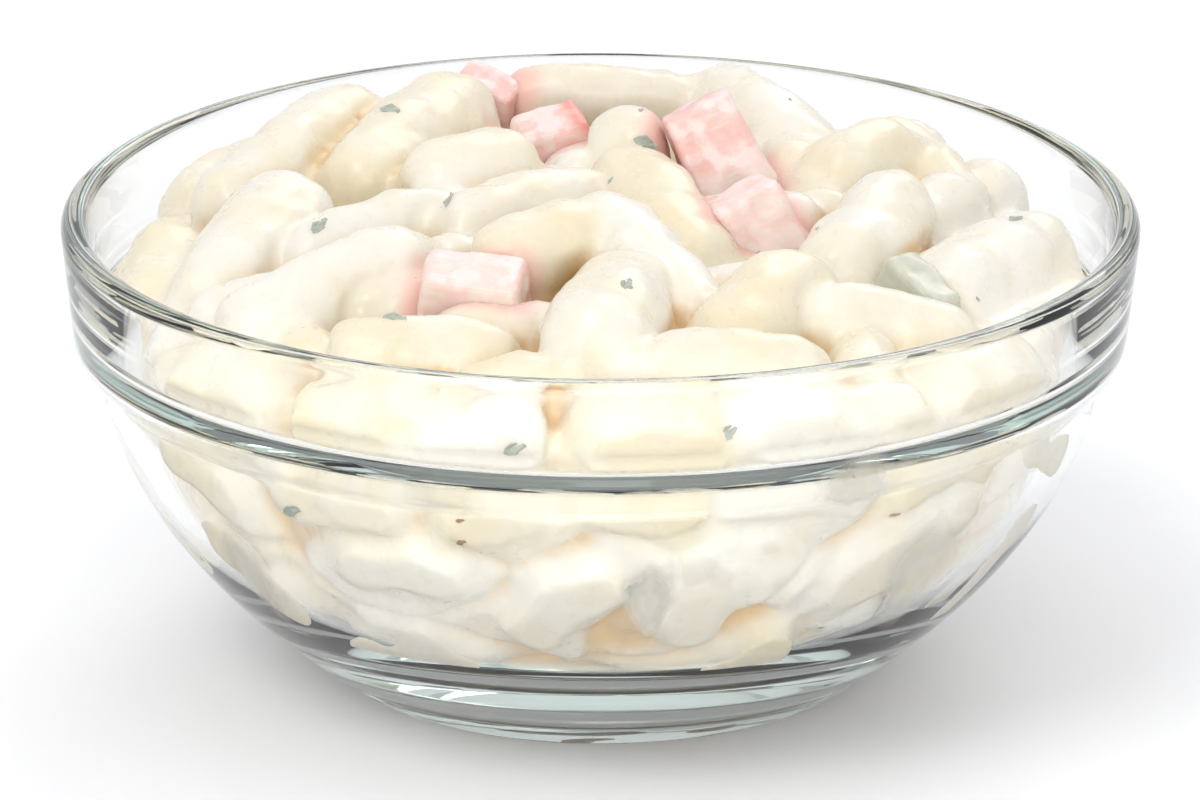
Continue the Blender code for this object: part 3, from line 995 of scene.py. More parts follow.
@dataclass
class SaladHeap:
    """Coated elbows heaped over a plain core, with the cream that joins them."""

    bowl: StackingBowl
    wall_press: float = 0.7 * MM
    wall_reach: float = 0.25 * MM
    ledge_clearance: float = 0.7 * MM
    ledge_heights: Pair = (37.4 * MM, 42.6 * MM)
    ledge_fade: float = 1.2 * MM
    foot_height: float = 13.0 * MM
    foot_fade: float = 3.0 * MM
    filling_edge_radius: float = 53.5 * MM
    core_depth: float = 0.9 * MM
    core_swell: float = 1.8 * MM
    core_swell_size: float = 9.0 * MM
    core_swell_seed: float = 4.2
    core_rings: tuple[float, ...] = (7.0, 10.0, 15.0, 20.0, 26.0, 32.0, 37.0, 41.0)
    core_shares: tuple[float, ...] = (1.0, 0.8, 0.55, 0.3, 0.1)
    core_sides: int = 64
    core_cuts: int = 2
    core_merge: float = 0.01 * MM
    elbow_sides: int = 16
    end_steps: tuple[float, ...] = (0.02, 0.08, 0.2, 0.38, 0.62, 1.0)
    end_roundness: float = 2.2
    middle_rings: Pair = (1.33, 1.67)
    cream_over: float = 0.28 * MM
    cream_back: float = 0.6
    cream_rounds: int = 4
    seam_rounds: int = 2
    seam_width: float = 1.9 * MM
    seam_depth: float = 0.65 * MM
    core_edge_height: float = 44.5 * MM
    core_edge_radius: float = 47.0 * MM
    core_crown: float = 4.0 * MM
    elbow_length: float = 17.0 * MM
    elbow_thickness: float = 9.0 * MM
    wall_end_share: float = 0.35
    base_count: int = 7
    base_ring_radius: float = 13.0 * MM
    base_skew: float = 1.1
    base_thickness_share: float = 0.95
    hand_placed: Pair = (-158.0, -14.0)
    top_row_height: float = 40.0
    low_sides: tuple[Pair, ...] = ((-180.0, -158.0), (-14.0, 36.0), (152.0, 180.0))
    row_filled_share: float = 0.8
    row_turn_spread: float = 4.0
    row_level_spread: float = 2.0
    row_thickness_range: Pair = (0.85, 1.15)
    row_seed: int = 7
    fill_seed: int = 8
    fill_count: int = 56
    fill_spacing: float = 6.4 * MM
    fill_reach: float = 0.97
    fill_thickness_range: Pair = (0.8, 1.05)
    fill_sink: float = 0.5 * MM
    fill_rise: float = 1.0 * MM
    golden_angle: float = math.radians(137.5)
    swell_size: float = 6.0 * MM
    swell_rise: float = 0.75 * MM
    swell_seed: float = 3.1
    lump_size: float = 2.8 * MM
    lump_rise: float = 0.3 * MM
    lump_seed: float = 9.4
    voxel: float = 0.72 * MM
    gap_reach: float = 6.0 * MM
    ray_turn: float = 2.399963
    ray_start: float = 0.15 * MM
    shelter_rounds: int = 3
    # Painted shade: how sheltered a point must be, and how near a seam, before warm shade is painted into the
    # cream there.
    amber_range: Pair = (0.09, 0.45)
    amber_seam: Pair = (0.2 * MM, 2.6 * MM)
    amber_open: float = 0.8
    amber_more: float = 0.3
    coat_seed: int = 21
    coat_range: Pair = (0.15, 0.95)
    coat_rounds: int = 4
    middle_line: Pair = (0.12, 0.88)
    middle_points: int = 7
    batch: int = 1500
    # Painted shade: depths and heights over which cream standing back from the glass gets warm shade painted
    # on.
    gap_depths: Pair = (1.2 * MM, 2.8 * MM)
    gap_heights: Pair = (40.0 * MM, 44.0 * MM)
    stain_share: float = 0.7
    stain_reach: Pair = (0.2 * MM, 2.9 * MM)
    elbows: list[Elbow] = field(default_factory=list)
    top_count: int = 0

    def core_height(self, x: float, y: float) -> float:
        """Top of the bare core above a place in plan."""
        share = min(math.hypot(x, y) / self.core_edge_radius, 1)
        return self.core_edge_height + self.core_crown * (1 - share**2)

    def place_top(self) -> None:
        """The elbows that show on top, each where it lies."""
        for start, end, thickness, rise in TOP_ELBOWS:
            bow = Vector((0, 0, rise * MM))
            self.elbows.append(Elbow(Vector(start) * MM, Vector(end) * MM, thickness * MM, bow))
        self.top_count = len(self.elbows)

    def wall_elbow(self, place: tuple[float, float, float, float], thickness: float) -> Elbow:
        """An elbow pressed against the glass.

        Args:
            place: angle and height of one end, then of the other.
            thickness: its thickness.

        Returns:
            The elbow, whose skin reaches into the wall where it touches.
        """
        angle_a, height_a, angle_b, height_b = place
        depth = thickness / 2 - self.wall_press
        a = self.bowl.wall_point(angle_a, height_a, depth)
        b = self.bowl.wall_point(angle_b, height_b, depth)
        crown = self.bowl.wall_point((angle_a + angle_b) / 2, (height_a + height_b) / 2, depth)
        reach = (b - a).normalized() * thickness * self.wall_end_share
        return Elbow(a + reach, b - reach, thickness, crown - (a + b) / 2)

    def place_walls(self) -> None:
        """The elbows seen through the glass: chosen ones in front, even rows round the rest."""
        for angle_a, height_a, angle_b, height_b, thickness in WALL_ELBOWS:
            place = (angle_a, height_a * MM, angle_b, height_b * MM)
            self.elbows.append(self.wall_elbow(place, thickness * MM))
        draw = random.Random(self.row_seed)
        for height, rise, count in WALL_ROWS:
            for i in range(count):
                spread = self.row_turn_spread
                angle = -90 + 360 * (i + 0.5) / count + draw.uniform(-spread, spread)
                tilt = rise * draw.uniform(-1, 1) * MM
                thickness = self.elbow_thickness * draw.uniform(*self.row_thickness_range)
                level = (height + draw.uniform(-self.row_level_spread, self.row_level_spread)) * MM
                half = 180 / count * self.row_filled_share
                turned = (angle + 180) % 360 - 180
                if self.hand_placed[0] < turned < self.hand_placed[1]:
                    continue
                if height > self.top_row_height and any(a < turned < b for a, b in self.low_sides):
                    continue
                place = (angle - half, level - tilt, angle + half, level + tilt)
                self.elbows.append(self.wall_elbow(place, thickness))

    def place_base(self) -> None:
        """A ring of elbows that lies on the floor of the bowl."""
        for i in range(self.base_count):
            turn = math.tau * i / self.base_count
            middle = Vector((math.cos(turn), math.sin(turn), 0)) * self.base_ring_radius
            middle.z = self.bowl.floor_height - self.wall_press + self.elbow_thickness / 2
            heading = turn + self.base_skew
            half = Vector((math.cos(heading), math.sin(heading), 0)) * self.elbow_length / 4
            thickness = self.elbow_thickness * self.base_thickness_share
            self.elbows.append(Elbow(middle - half, middle + half, thickness, Vector()))

    def place_fill(self) -> None:
        """Elbows in the spaces that the chosen ones leave on top, spread like seeds in a flower head."""
        taken = [p for e in self.elbows[: self.top_count] for p in (e.start, (e.start + e.end) / 2, e.end)]
        draw = random.Random(self.fill_seed)
        for i in range(self.fill_count):
            turn = i * self.golden_angle
            radius = self.core_edge_radius * self.fill_reach * math.sqrt((i + 0.5) / self.fill_count)
            x, y = radius * math.cos(turn), radius * math.sin(turn)
            heading = draw.uniform(0, math.tau)
            thickness = self.elbow_thickness * draw.uniform(*self.fill_thickness_range)
            if any(math.hypot(x - p.x, y - p.y) < self.fill_spacing for p in taken):
                continue
            middle = Vector((x, y, self.core_height(x, y) - self.fill_sink))
            half = Vector((math.cos(heading), math.sin(heading), 0)) * self.elbow_length / 4
            self.elbows.append(Elbow(middle - half, middle + half, thickness, Vector((0, 0, self.fill_rise))))
            taken.append(middle)

    def stack_rings(self, name: str, rows: Sequence[Pair], sides: int) -> bpy.types.Object:
        """Extrudes a disc upwards ring by ring, and stays in edit mode.

        Args:
            name: the name of the piece.
            rows: radius and height of each ring.
            sides: number of points on a ring.

        Returns:
            The new piece.
        """
        deselect_all()
        radius, height = rows[0]
        bpy.ops.mesh.primitive_circle_add(
            vertices=sides, radius=radius, fill_type="NGON", location=(0, 0, height)
        )
        piece = start_piece(name)
        bpy.ops.object.mode_set(mode="EDIT")
        bpy.ops.mesh.select_mode(type="FACE")
        bpy.ops.mesh.select_all(action="SELECT")
        for (wide, low), (next_wide, high) in zip(rows, rows[1:]):
            bpy.ops.mesh.extrude_region_move(TRANSFORM_OT_translate={"value": (0, 0, high - low)})
            bpy.ops.transform.resize(value=(next_wide / wide, next_wide / wide, 1))
        return piece

    def model_elbow(self) -> bpy.types.Object:
        """Models one straight elbow of radius 1, with its round ends at z from 0 to 1 and 2 to 3.

        Returns:
            The elbow.
        """
        power = self.end_roundness
        ends = [(s, (1 - (1 - s) ** power) ** (1 / power)) for s in self.end_steps]
        middle = [(up, 1.0) for up in self.middle_rings]
        rings = ends[1:] + middle + [(3 - s, wide) for s, wide in reversed(ends)]
        rows = [(wide, up) for up, wide in ends[:1] + rings]
        piece = self.stack_rings("straight_elbow", rows, self.elbow_sides)
        close_and_turn_out(piece, MM)
        settle(piece)
        return piece

    def model_core(self) -> bpy.types.Object:
        """Models the plain filling as a stack of rings that follows the glass.

        Returns:
            The filling.
        """
        side = [self.bowl.wall_point(0, h * MM, self.core_depth) for h in self.core_rings]
        rows = [(p.x, p.z) for p in side]
        for share in self.core_shares:
            radius = self.filling_edge_radius * share
            rows.append((radius, self.core_height(radius, 0)))
        piece = self.stack_rings("heap_core", rows, self.core_sides)
        bpy.ops.mesh.select_all(action="SELECT")
        bpy.ops.mesh.subdivide(number_cuts=self.core_cuts)
        close_and_turn_out(piece, self.core_merge)
        settle(piece)
        points = read_points(piece)
        out = points / np.maximum(np.linalg.norm(points[:, :2], axis=1), MM)[:, None]
        out[:, 2] = 0
        swell = lumps(points, self.core_swell_size, self.core_swell_seed) * self.core_swell
        write_points(piece, points + out * swell[:, None])
        return piece

    def build(self) -> bpy.types.Object:
        """Heaps the elbows over the core and melts them together as the cream does.

        Returns:
            The heap.
        """
        self.place_top()
        self.place_walls()
        self.place_base()
        self.place_fill()
        straight = self.model_elbow()
        rest = read_points(straight)
        pieces = [self.model_core()]
        for i, elbow in enumerate(self.elbows):
            made = copy_piece(straight, f"elbow_{i}")
            write_points(made, elbow.bend(rest))
            pieces.append(made)
        bpy.data.objects.remove(straight)
        heap = join_pieces(pieces, "creamy_pasta_heap")
        log.info("heap: %d elbows joined", len(self.elbows))
        apply_modifier(heap, "REMESH", mode="VOXEL", voxel_size=self.voxel)
        self.grow(heap, self.cream_over)
        apply_modifier(heap, "REMESH", mode="VOXEL", voxel_size=self.voxel)
        apply_modifier(heap, "SMOOTH", factor=0.5, iterations=self.cream_rounds)
        self.grow(heap, -self.cream_over * self.cream_back)
        self.sink_seams(heap)
        self.add_lumps(heap)
        self.press_on_glass(heap)
        take(heap)
        bpy.ops.object.shade_smooth()
        return heap

    def grow(self, heap: bpy.types.Object, distance: float) -> None:
        """Moves the skin outwards, or inwards where the distance is negative."""
        write_points(heap, read_points(heap) + read_normals(heap) * distance)

    def sink_seams(self, heap: bpy.types.Object) -> None:
        """Sinks the cream along the seams, so that each elbow keeps its own round form.

        Args:
            heap: the heap.
        """
        points = read_points(heap)
        _, first, second = self.nearest_elbows(points)
        seam = 1 - ease(second - first, 0, self.seam_width)
        write_points(heap, points - read_normals(heap) * (seam * self.seam_depth)[:, None])
        apply_modifier(heap, "SMOOTH", factor=0.5, iterations=self.seam_rounds)

    def add_lumps(self, heap: bpy.types.Object) -> None:
        """Makes the cream uneven, in slow swells and smaller lumps.

        Args:
            heap: the heap.
        """
        points = read_points(heap)
        raised = lumps(points, self.swell_size, self.swell_seed) * self.swell_rise
        raised += lumps(points, self.lump_size, self.lump_seed) * self.lump_rise
        write_points(heap, points + read_normals(heap) * raised[:, None])

    def press_on_glass(self, heap: bpy.types.Object) -> None:
        """Flattens the cream where it meets the wall and the floor, just inside the glass.

        Args:
            heap: the heap.
        """
        points = read_points(heap)
        radius = np.hypot(points[:, 0], points[:, 1])
        low, high = self.ledge_heights
        height = points[:, 2]
        ledge = ease(height, low - self.ledge_fade, low) * (1 - ease(height, high, high + self.ledge_fade))
        foot = 1 - ease(height, self.foot_height, self.foot_height + self.foot_fade)
        apart = np.maximum(ledge, foot) * self.ledge_clearance
        limit = self.bowl.wall_radius(height) + self.wall_reach - apart
        over = (radius > limit) & (points[:, 2] < self.bowl.height)
        points[over, :2] *= (limit[over] / radius[over])[:, None]
        floor = self.bowl.floor_height - self.wall_reach
        points[:, 2] = np.maximum(points[:, 2], floor)
        write_points(heap, points)

    def nearest_elbows(self, points: np.ndarray) -> tuple[np.ndarray, np.ndarray, np.ndarray]:
        """Finds the elbow under each point.

        Args:
            points: one row for each point.

        Returns:
            Index of the nearest elbow, distance outside it, and the same distance for the next one.
        """
        shares = np.linspace(*self.middle_line, self.middle_points)
        samples = np.stack([e.along(shares) for e in self.elbows])
        radii = np.array([e.thickness / 2 for e in self.elbows])
        owner, first, second = [], [], []
        for part in np.array_split(points, max(len(points) // self.batch, 1)):
            away = np.linalg.norm(part[:, None, None, :] - samples[None], axis=3).min(axis=2) - radii
            two = np.partition(away, 1, axis=1)[:, :2]
            owner.append(away.argmin(axis=1))
            first.append(two[:, 0])
            second.append(two[:, 1])
        return np.concatenate(owner), np.concatenate(first), np.concatenate(second)

    def even_out(self, heap: bpy.types.Object, values: np.ndarray, rounds: int) -> np.ndarray:
        """Averages one number of each vertex with its neighbours', over and over.

        Args:
            heap: the heap.
            values: one number for each vertex.
            rounds: how often.

        Returns:
            The evened numbers.
        """
        edges = np.empty(len(heap.data.edges) * 2, dtype=np.int64)
        heap.data.edges.foreach_get("vertices", edges)
        ends = edges.reshape(-1, 2)
        one = np.concatenate([ends[:, 0], ends[:, 1]])
        other = np.concatenate([ends[:, 1], ends[:, 0]])
        number = np.maximum(np.bincount(one, minlength=len(values)), 1)
        for _ in range(rounds):
            values = np.bincount(one, weights=values[other], minlength=len(values)) / number
        return values

    def shelter(self, heap: bpy.types.Object, reach: float, rays: int = 12) -> np.ndarray:
        """Share of the open sky that nearby cream hides from each vertex.

        Args:
            heap: the heap.
            reach: how far away cream still counts.
            rays: number of directions tried from each vertex.

        Returns:
            One number from 0, open, to 1, deep in a gap.
        """
        tree = BVHTree.FromObject(heap, bpy.context.evaluated_depsgraph_get())
        turns = [(i * self.ray_turn, math.sqrt((i + 0.5) / rays)) for i in range(rays)]
        fan = np.array([(math.cos(t) * s, math.sin(t) * s, math.sqrt(1 - s * s)) for t, s in turns])
        points, normals = read_points(heap), read_normals(heap)
        aside = np.cross(normals, np.where(np.abs(normals[:, 2:]) < 0.9, (0, 0, 1), (1, 0, 0)))
        aside /= np.linalg.norm(aside, axis=1)[:, None]
        across = np.cross(normals, aside)
        starts = [Vector(p) for p in points + normals * self.ray_start]
        hidden = np.zeros(len(points))
        for x, y, z in fan:
            ways = aside * x + across * y + normals * z
            hits = [tree.ray_cast(p, Vector(w), reach)[3] for p, w in zip(starts, ways)]
            hidden += np.array([0.0 if h is None else 1 - h / reach for h in hits])
        return self.even_out(heap, hidden / rays, self.shelter_rounds)

    def glass_gap(self, points: np.ndarray) -> np.ndarray:
        """Share from 0 to 1 by which cream below the top stands back from the glass; it sets where shade is
        painted behind the glass.

        Args:
            points: one row for each point.

        Returns:
            One share for each point.
        """
        behind = self.bowl.wall_radius(points[:, 2]) - np.hypot(points[:, 0], points[:, 1])
        below_top = 1 - ease(points[:, 2], *self.gap_heights)
        return ease(behind, *self.gap_depths) * below_top

    def dress(self, heap: bpy.types.Object, blocks: Sequence[CutBlock]) -> None:
        """Works out where the cream is thick, thin or pink and where warm shade is painted into its gaps, and
        gives the heap its finish.

        Args:
            heap: the finished heap.
            blocks: the pink blocks that stain the cream beside them.
        """
        points = read_points(heap)
        owner, first, second = self.nearest_elbows(points)
        draw = random.Random(self.coat_seed)
        coats = np.array([draw.uniform(*self.coat_range) for _ in self.elbows])
        store(heap, "coat", self.even_out(heap, coats[owner], self.coat_rounds))
        # Painted shade: sheltered gaps, seams and cream standing back from the glass get warm yellow-brown in
        # the material.
        sheltered = self.shelter(heap, self.gap_reach)
        seam = 1 - ease(second - first, *self.amber_seam)
        open_gap = ease(sheltered * (self.amber_open + self.amber_more * seam), *self.amber_range)
        store(heap, "crevice", np.maximum(open_gap, self.glass_gap(points)))
        stain = np.zeros(len(points))
        for block in blocks:
            near = 1 - ease(block.distance(points), *self.stain_reach)
            stain = np.maximum(stain, self.stain_share * near)
        store(heap, "blush", stain)
        heap.data.materials.clear()
        heap.data.materials.append(DressedPasta().make())
        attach(heap, BODY)
        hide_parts("salad")


@dataclass
class CutBlock:
    """One block cut from crab stick or pickle, with soft uneven edges."""

    name: str
    centre: Triple
    size: Triple
    turn: Triple
    skin_side: Triple = (0.0, 0.0, 1.0)
    smear: float = 0.15
    taper: Triple = (0.88, 0.92, 1.0)
    bevel: float = 0.9 * MM
    bevel_steps: int = 3
    face_cuts: int = 5
    unevenness: float = 0.5 * MM
    uneven_size: float = 3.2 * MM
    grit: float = 0.1 * MM
    grit_size: float = 1.1 * MM
    skin_edges: Pair = (0.72, 1.0)
    skin_share: float = 0.75
    low_edges: Pair = (-1.0, 0.1)
    low_smear: float = 0.6

    def placing(self) -> Matrix:
        """Turn and place of the block."""
        turn = Euler([math.radians(t) for t in self.turn])
        return Matrix.Translation(Vector(self.centre) * MM) @ turn.to_matrix().to_4x4()

    def local(self, points: np.ndarray) -> np.ndarray:
        """Points seen from the block's middle, along its own sides."""
        back = np.array(self.placing().inverted())
        return points @ back[:3, :3].T + back[:3, 3]

    def distance(self, points: np.ndarray) -> np.ndarray:
        """How far each point lies outside the block."""
        over = np.abs(self.local(points)) - np.array(self.size) * MM / 2
        return np.linalg.norm(np.maximum(over, 0), axis=1)

    def build(self) -> bpy.types.Object:
        """Cuts the block: a tapered, bevelled cuboid with finely uneven faces.

        Returns:
            The block.
        """
        deselect_all()
        bpy.ops.mesh.primitive_cube_add(size=1, location=(0, 0, 0), scale=[s * MM for s in self.size])
        piece = start_piece(self.name + "_piece")
        bpy.ops.object.transform_apply(location=False, rotation=False, scale=True)
        bpy.ops.object.mode_set(mode="EDIT")
        pick_faces(piece, lambda centre, normal: normal.z > 0.9)
        bpy.ops.transform.resize(value=self.taper)
        bpy.ops.mesh.select_all(action="SELECT")
        bpy.ops.mesh.bevel(offset=self.bevel, segments=self.bevel_steps, affect="EDGES")
        bpy.ops.mesh.select_all(action="SELECT")
        bpy.ops.mesh.subdivide(number_cuts=self.face_cuts)
        bpy.ops.object.mode_set(mode="OBJECT")
        apply_modifier(piece, "SUBSURF", levels=1, render_levels=1)
        self.roughen(piece)
        return piece

    def roughen(self, piece: bpy.types.Object) -> None:
        """Makes the cut faces uneven, keeps the block's own axes for its grain, and puts it in place.

        Args:
            piece: the cut block.
        """
        points = read_points(piece)
        shift = self.centre[0]
        raised = lumps(points, self.uneven_size, shift) * self.unevenness
        raised += lumps(points, self.grit_size, shift + 5) * self.grit
        points = points + read_normals(piece) * raised[:, None]
        grain = piece.data.attributes.new("grain", "FLOAT_VECTOR", "POINT")
        grain.data.foreach_set("vector", points.astype(np.float32).ravel())
        half = np.array(self.size) * MM / 2
        towards = (points / half) @ np.array(self.skin_side)
        store(piece, "skin", ease(towards, *self.skin_edges) * self.skin_share)
        low = 1 - ease(points[:, 2] / half[2], *self.low_edges)
        store(piece, "smear", np.clip(self.smear + self.low_smear * low, 0, 1))
        write_points(piece, points)
        piece.matrix_world = self.placing()
        settle(piece)
        bpy.ops.object.shade_smooth()

    def dress(self, piece: bpy.types.Object, finish: bpy.types.Material, slot: str) -> None:
        """Gives the block its finish and puts it in place of its node.

        Args:
            piece: the block.
            finish: its material.
            slot: not used.
        """
        piece.data.materials.clear()
        piece.data.materials.append(finish)
        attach(piece, BODY)
        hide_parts(self.name)


PINK_BLOCKS: list[CutBlock] = [
    CutBlock("pink_block_back", (-13.4, 43.0, 51.2), (8, 5, 7), (12, 20, -20), (1, 0, 0), 0.05),
    CutBlock("pink_block_behind", (-5.4, 29.5, 50.0), (9, 7, 8), (10, -12, 15), (1, 0, 0.4), 0.1),
    CutBlock("pink_block_tall", (13.0, 17.0, 53.6), (9.5, 7.5, 12), (-14, -24, 12), (-1, 0, 0), 0.02),
    CutBlock("pink_block_low", (17.2, 1.5, 49.8), (9, 8, 9), (-10, -24, 20), (1, 0, 0), 0.35),
    CutBlock("pink_block_front", (-13.8, -25.6, 50.4), (12, 8, 7.5), (12, 4, -10), (1, 0, 0), 0.45),
    CutBlock("pink_block_side", (36.6, -25.4, 29.5), (6.5, 7, 7), (10, 20, -35), (0, -1, 0), 0.25),
]
PICKLE_BLOCK = CutBlock("pickle_block", (34.9, -16.5, 47.6), (10, 5, 6), (0, 20, -52), (0, -1, 0), 0.3)


@dataclass
class DillBits:
    """Scraps of dill on the heap and against the glass."""

    bowl: StackingBowl
    size: float = 1.15 * MM
    thickness: float = 0.35 * MM
    raised: float = 0.07 * MM
    fine_count: int = 16
    fine_reach: float = 46 * MM
    fine_scales: Pair = (0.2, 0.42)
    scales: Pair = (0.9, 1.25)
    wall_scale: float = 1.1
    wall_turn: float = 0.5
    press_from: float = -1.0 * MM
    press_towards: float = 5 * MM
    outline_points: int = 9
    width_share: float = 0.55
    ragged: float = 0.25
    top_inset: float = 0.15
    outline_seed: int = 3
    drop_height: float = 0.2
    seed: int = 5

    def model_scrap(self) -> bpy.types.Object:
        """Models one scrap: a thin ragged leaf bit.

        Returns:
            The scrap.
        """
        deselect_all()
        bpy.ops.mesh.primitive_circle_add(
            vertices=self.outline_points, radius=1.0, fill_type="NGON", location=(0, 0, 0)
        )
        piece = start_piece("dill_scrap")
        bpy.ops.object.mode_set(mode="EDIT")
        bpy.ops.mesh.select_all(action="SELECT")
        bpy.ops.transform.resize(value=(1.0, self.width_share, 1.0))
        bpy.ops.transform.vertex_random(offset=self.ragged, seed=self.outline_seed)
        bpy.ops.mesh.extrude_region_move(TRANSFORM_OT_translate={"value": (0, 0, self.thickness / self.size)})
        bpy.ops.mesh.inset(thickness=self.top_inset)
        close_and_turn_out(piece, MM)
        return piece

    def lay(
        self, scrap: bpy.types.Object, spot: Vector, normal: Vector, turn: float, scale: float
    ) -> bpy.types.Object:
        """Lays one copy of the scrap on a surface.

        Args:
            scrap: the modelled scrap.
            spot: where it lies.
            normal: the surface's direction there.
            turn: its turn on the surface.
            scale: its size against a scrap of the usual size.

        Returns:
            The copy.
        """
        made = copy_piece(scrap, "dill_copy")
        facing = normal.to_track_quat("Z", "Y") @ Euler((0, 0, turn)).to_quaternion()
        size = Matrix.Scale(self.size * scale, 4)
        sink = self.raised - self.thickness * scale
        made.data.transform(Matrix.Translation(spot + normal * sink) @ facing.to_matrix().to_4x4() @ size)
        return made

    def build(self, heap: bpy.types.Object) -> bpy.types.Object:
        """Drops scraps on the heap, and presses some on it from the glass side.

        Args:
            heap: the dressed heap.

        Returns:
            All scraps as one piece.
        """
        surface = BVHTree.FromObject(heap, bpy.context.evaluated_depsgraph_get())
        scrap = self.model_scrap()
        draw = random.Random(self.seed)
        laid = []
        for x, y, turn in TOP_HERBS:
            spot, normal, _, _ = surface.ray_cast(Vector((x, y, 200)) * MM, Vector((0, 0, -1)))
            laid.append(self.lay(scrap, spot, normal, math.radians(turn), draw.uniform(*self.scales)))
        for _ in range(self.fine_count):
            radius = self.fine_reach * math.sqrt(draw.random())
            angle = draw.uniform(0, math.tau)
            above = Vector((radius * math.cos(angle), radius * math.sin(angle), self.drop_height))
            spot, normal, _, _ = surface.ray_cast(above, Vector((0, 0, -1)))
            turn = draw.uniform(0, math.tau)
            laid.append(self.lay(scrap, spot, normal, turn, draw.uniform(*self.fine_scales)))
        for angle, height in WALL_HERBS:
            laid.append(self.press(scrap, surface, angle, height, self.wall_scale))
        bpy.data.objects.remove(scrap)
        return join_pieces(laid, "dill_bits")

    def press(
        self, scrap: bpy.types.Object, surface: BVHTree, angle: float, height: float, scale: float
    ) -> bpy.types.Object:
        """Presses one copy on the heap from the glass side.

        Args:
            scrap: the modelled scrap.
            surface: the heap's surface.
            angle: degrees round the bowl.
            height: height on the wall in mm.
            scale: its size against a scrap of the usual size.

        Returns:
            The copy.
        """
        outer = self.bowl.wall_point(angle, height * MM, self.press_from)
        inward = (self.bowl.wall_point(angle, height * MM, self.press_towards) - outer).normalized()
        spot, normal, _, _ = surface.ray_cast(outer, inward)
        return self.lay(scrap, spot, normal, self.wall_turn, scale)

    def dress(self, piece: bpy.types.Object) -> None:
        """Gives the scraps their green.

        Args:
            piece: the scraps.
        """
        piece.data.materials.clear()
        piece.data.materials.append(DriedDill().make())
        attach(piece, BODY)


@dataclass
class PepperSpecks(DillBits):
    """Specks of ground pepper that show through the glass."""

    size: float = 0.55 * MM
    thickness: float = 0.3 * MM
    scales: Pair = (0.7, 1.3)
    seed: int = 12

    def build(self, heap: bpy.types.Object) -> bpy.types.Object:
        """Presses the specks on the heap from the glass side.

        Args:
            heap: the dressed heap.

        Returns:
            All specks as one piece.
        """
        surface = BVHTree.FromObject(heap, bpy.context.evaluated_depsgraph_get())
        speck = self.model_scrap()
        draw = random.Random(self.seed)
        laid = []
        for angle, height in WALL_SPECKS:
            laid.append(self.press(speck, surface, angle, height, draw.uniform(*self.scales)))
        bpy.data.objects.remove(speck)
        return join_pieces(laid, "pepper_specks")

    def dress(self, piece: bpy.types.Object) -> None:
        """Gives the specks their brown.

        Args:
            piece: the specks.
        """
        piece.data.materials.clear()
        piece.data.materials.append(GroundPepper().make())
        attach(piece, BODY)


@dataclass(frozen=True)
class Smear:
    """Place and size of one smear on the inside of the glass, in degrees and mm."""

    angle: float
    height: float
    half_turn: float
    half_height: float
    thickness: float
    lean: float = 0.0


@dataclass
class GlassSmears:
    """Cream wiped on the inside of the glass."""

    bowl: StackingBowl
    reach: float = 0.3 * MM
    ragged: float = 0.25
    ragged_size: float = 0.6
    ragged_shift: float = 3.7
    drip: float = 0.6
    merge: float = 0.001 * MM
    ball_sides: int = 40
    ball_rings: int = 16
    smears: tuple[Smear, ...] = (
        Smear(-60, 38.0, 5.5, 3.4, 0.8),
        Smear(-84, 25, 3.4, 5.0, 0.4),
        Smear(-47, 24, 8.0, 7.0, 0.5),
        Smear(-140, 22, 5.0, 6.5, 0.5),
        Smear(70, 28, 6.0, 5.0, 0.5),
    )

    def build(self) -> bpy.types.Object:
        """Flattens a ball on the wall for each smear, with an uneven outline.

        Returns:
            All smears as one piece.
        """
        deselect_all()
        bpy.ops.mesh.primitive_uv_sphere_add(
            segments=self.ball_sides, ring_count=self.ball_rings, radius=1.0, location=(0, 0, 0)
        )
        ball = start_piece("smear_ball")
        rest = read_points(ball)
        made = []
        for i, smear in enumerate(self.smears):
            piece = copy_piece(ball, f"smear_{i}")
            write_points(piece, self.spread(rest, smear, float(i)))
            made.append(piece)
            store(piece, "cover", 1 - np.hypot(rest[:, 0], rest[:, 1]))
        bpy.data.objects.remove(ball)
        piece = join_pieces(made, "cream_smears")
        close_and_turn_out(piece, self.merge)
        bpy.ops.object.shade_smooth()
        return piece

    def spread(self, rest: np.ndarray, smear: Smear, seed: float) -> np.ndarray:
        """Moves the ball's points onto the wall.

        Args:
            rest: the ball's points.
            smear: place and size of the smear.
            seed: shift of its uneven outline.

        Returns:
            The points in place.
        """
        turned = np.arctan2(rest[:, 1], rest[:, 0])
        rim = np.stack([np.cos(turned), np.sin(turned), np.zeros(len(rest))], 1)
        wide = 1 + self.ragged * lumps(rim, self.ragged_size, seed * self.ragged_shift)
        placed = []
        for (x, y, z), w in zip(rest, wide):
            across, up = x * w * (1 + self.drip * min(y, 0)), y * w
            height = smear.height + smear.half_height * up
            angle = smear.angle + smear.half_turn * (across + smear.lean * up)
            depth = -self.reach if z < 0 else smear.thickness * MM * z
            placed.append(self.bowl.wall_point(angle, height * MM, depth))
        return np.array(placed)

    def dress(self, piece: bpy.types.Object) -> None:
        """Gives the smears their milky film.

        Args:
            piece: the smears.
        """
        piece.data.materials.clear()
        piece.data.materials.append(MayonnaiseFilm().make())
        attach(piece, BODY)


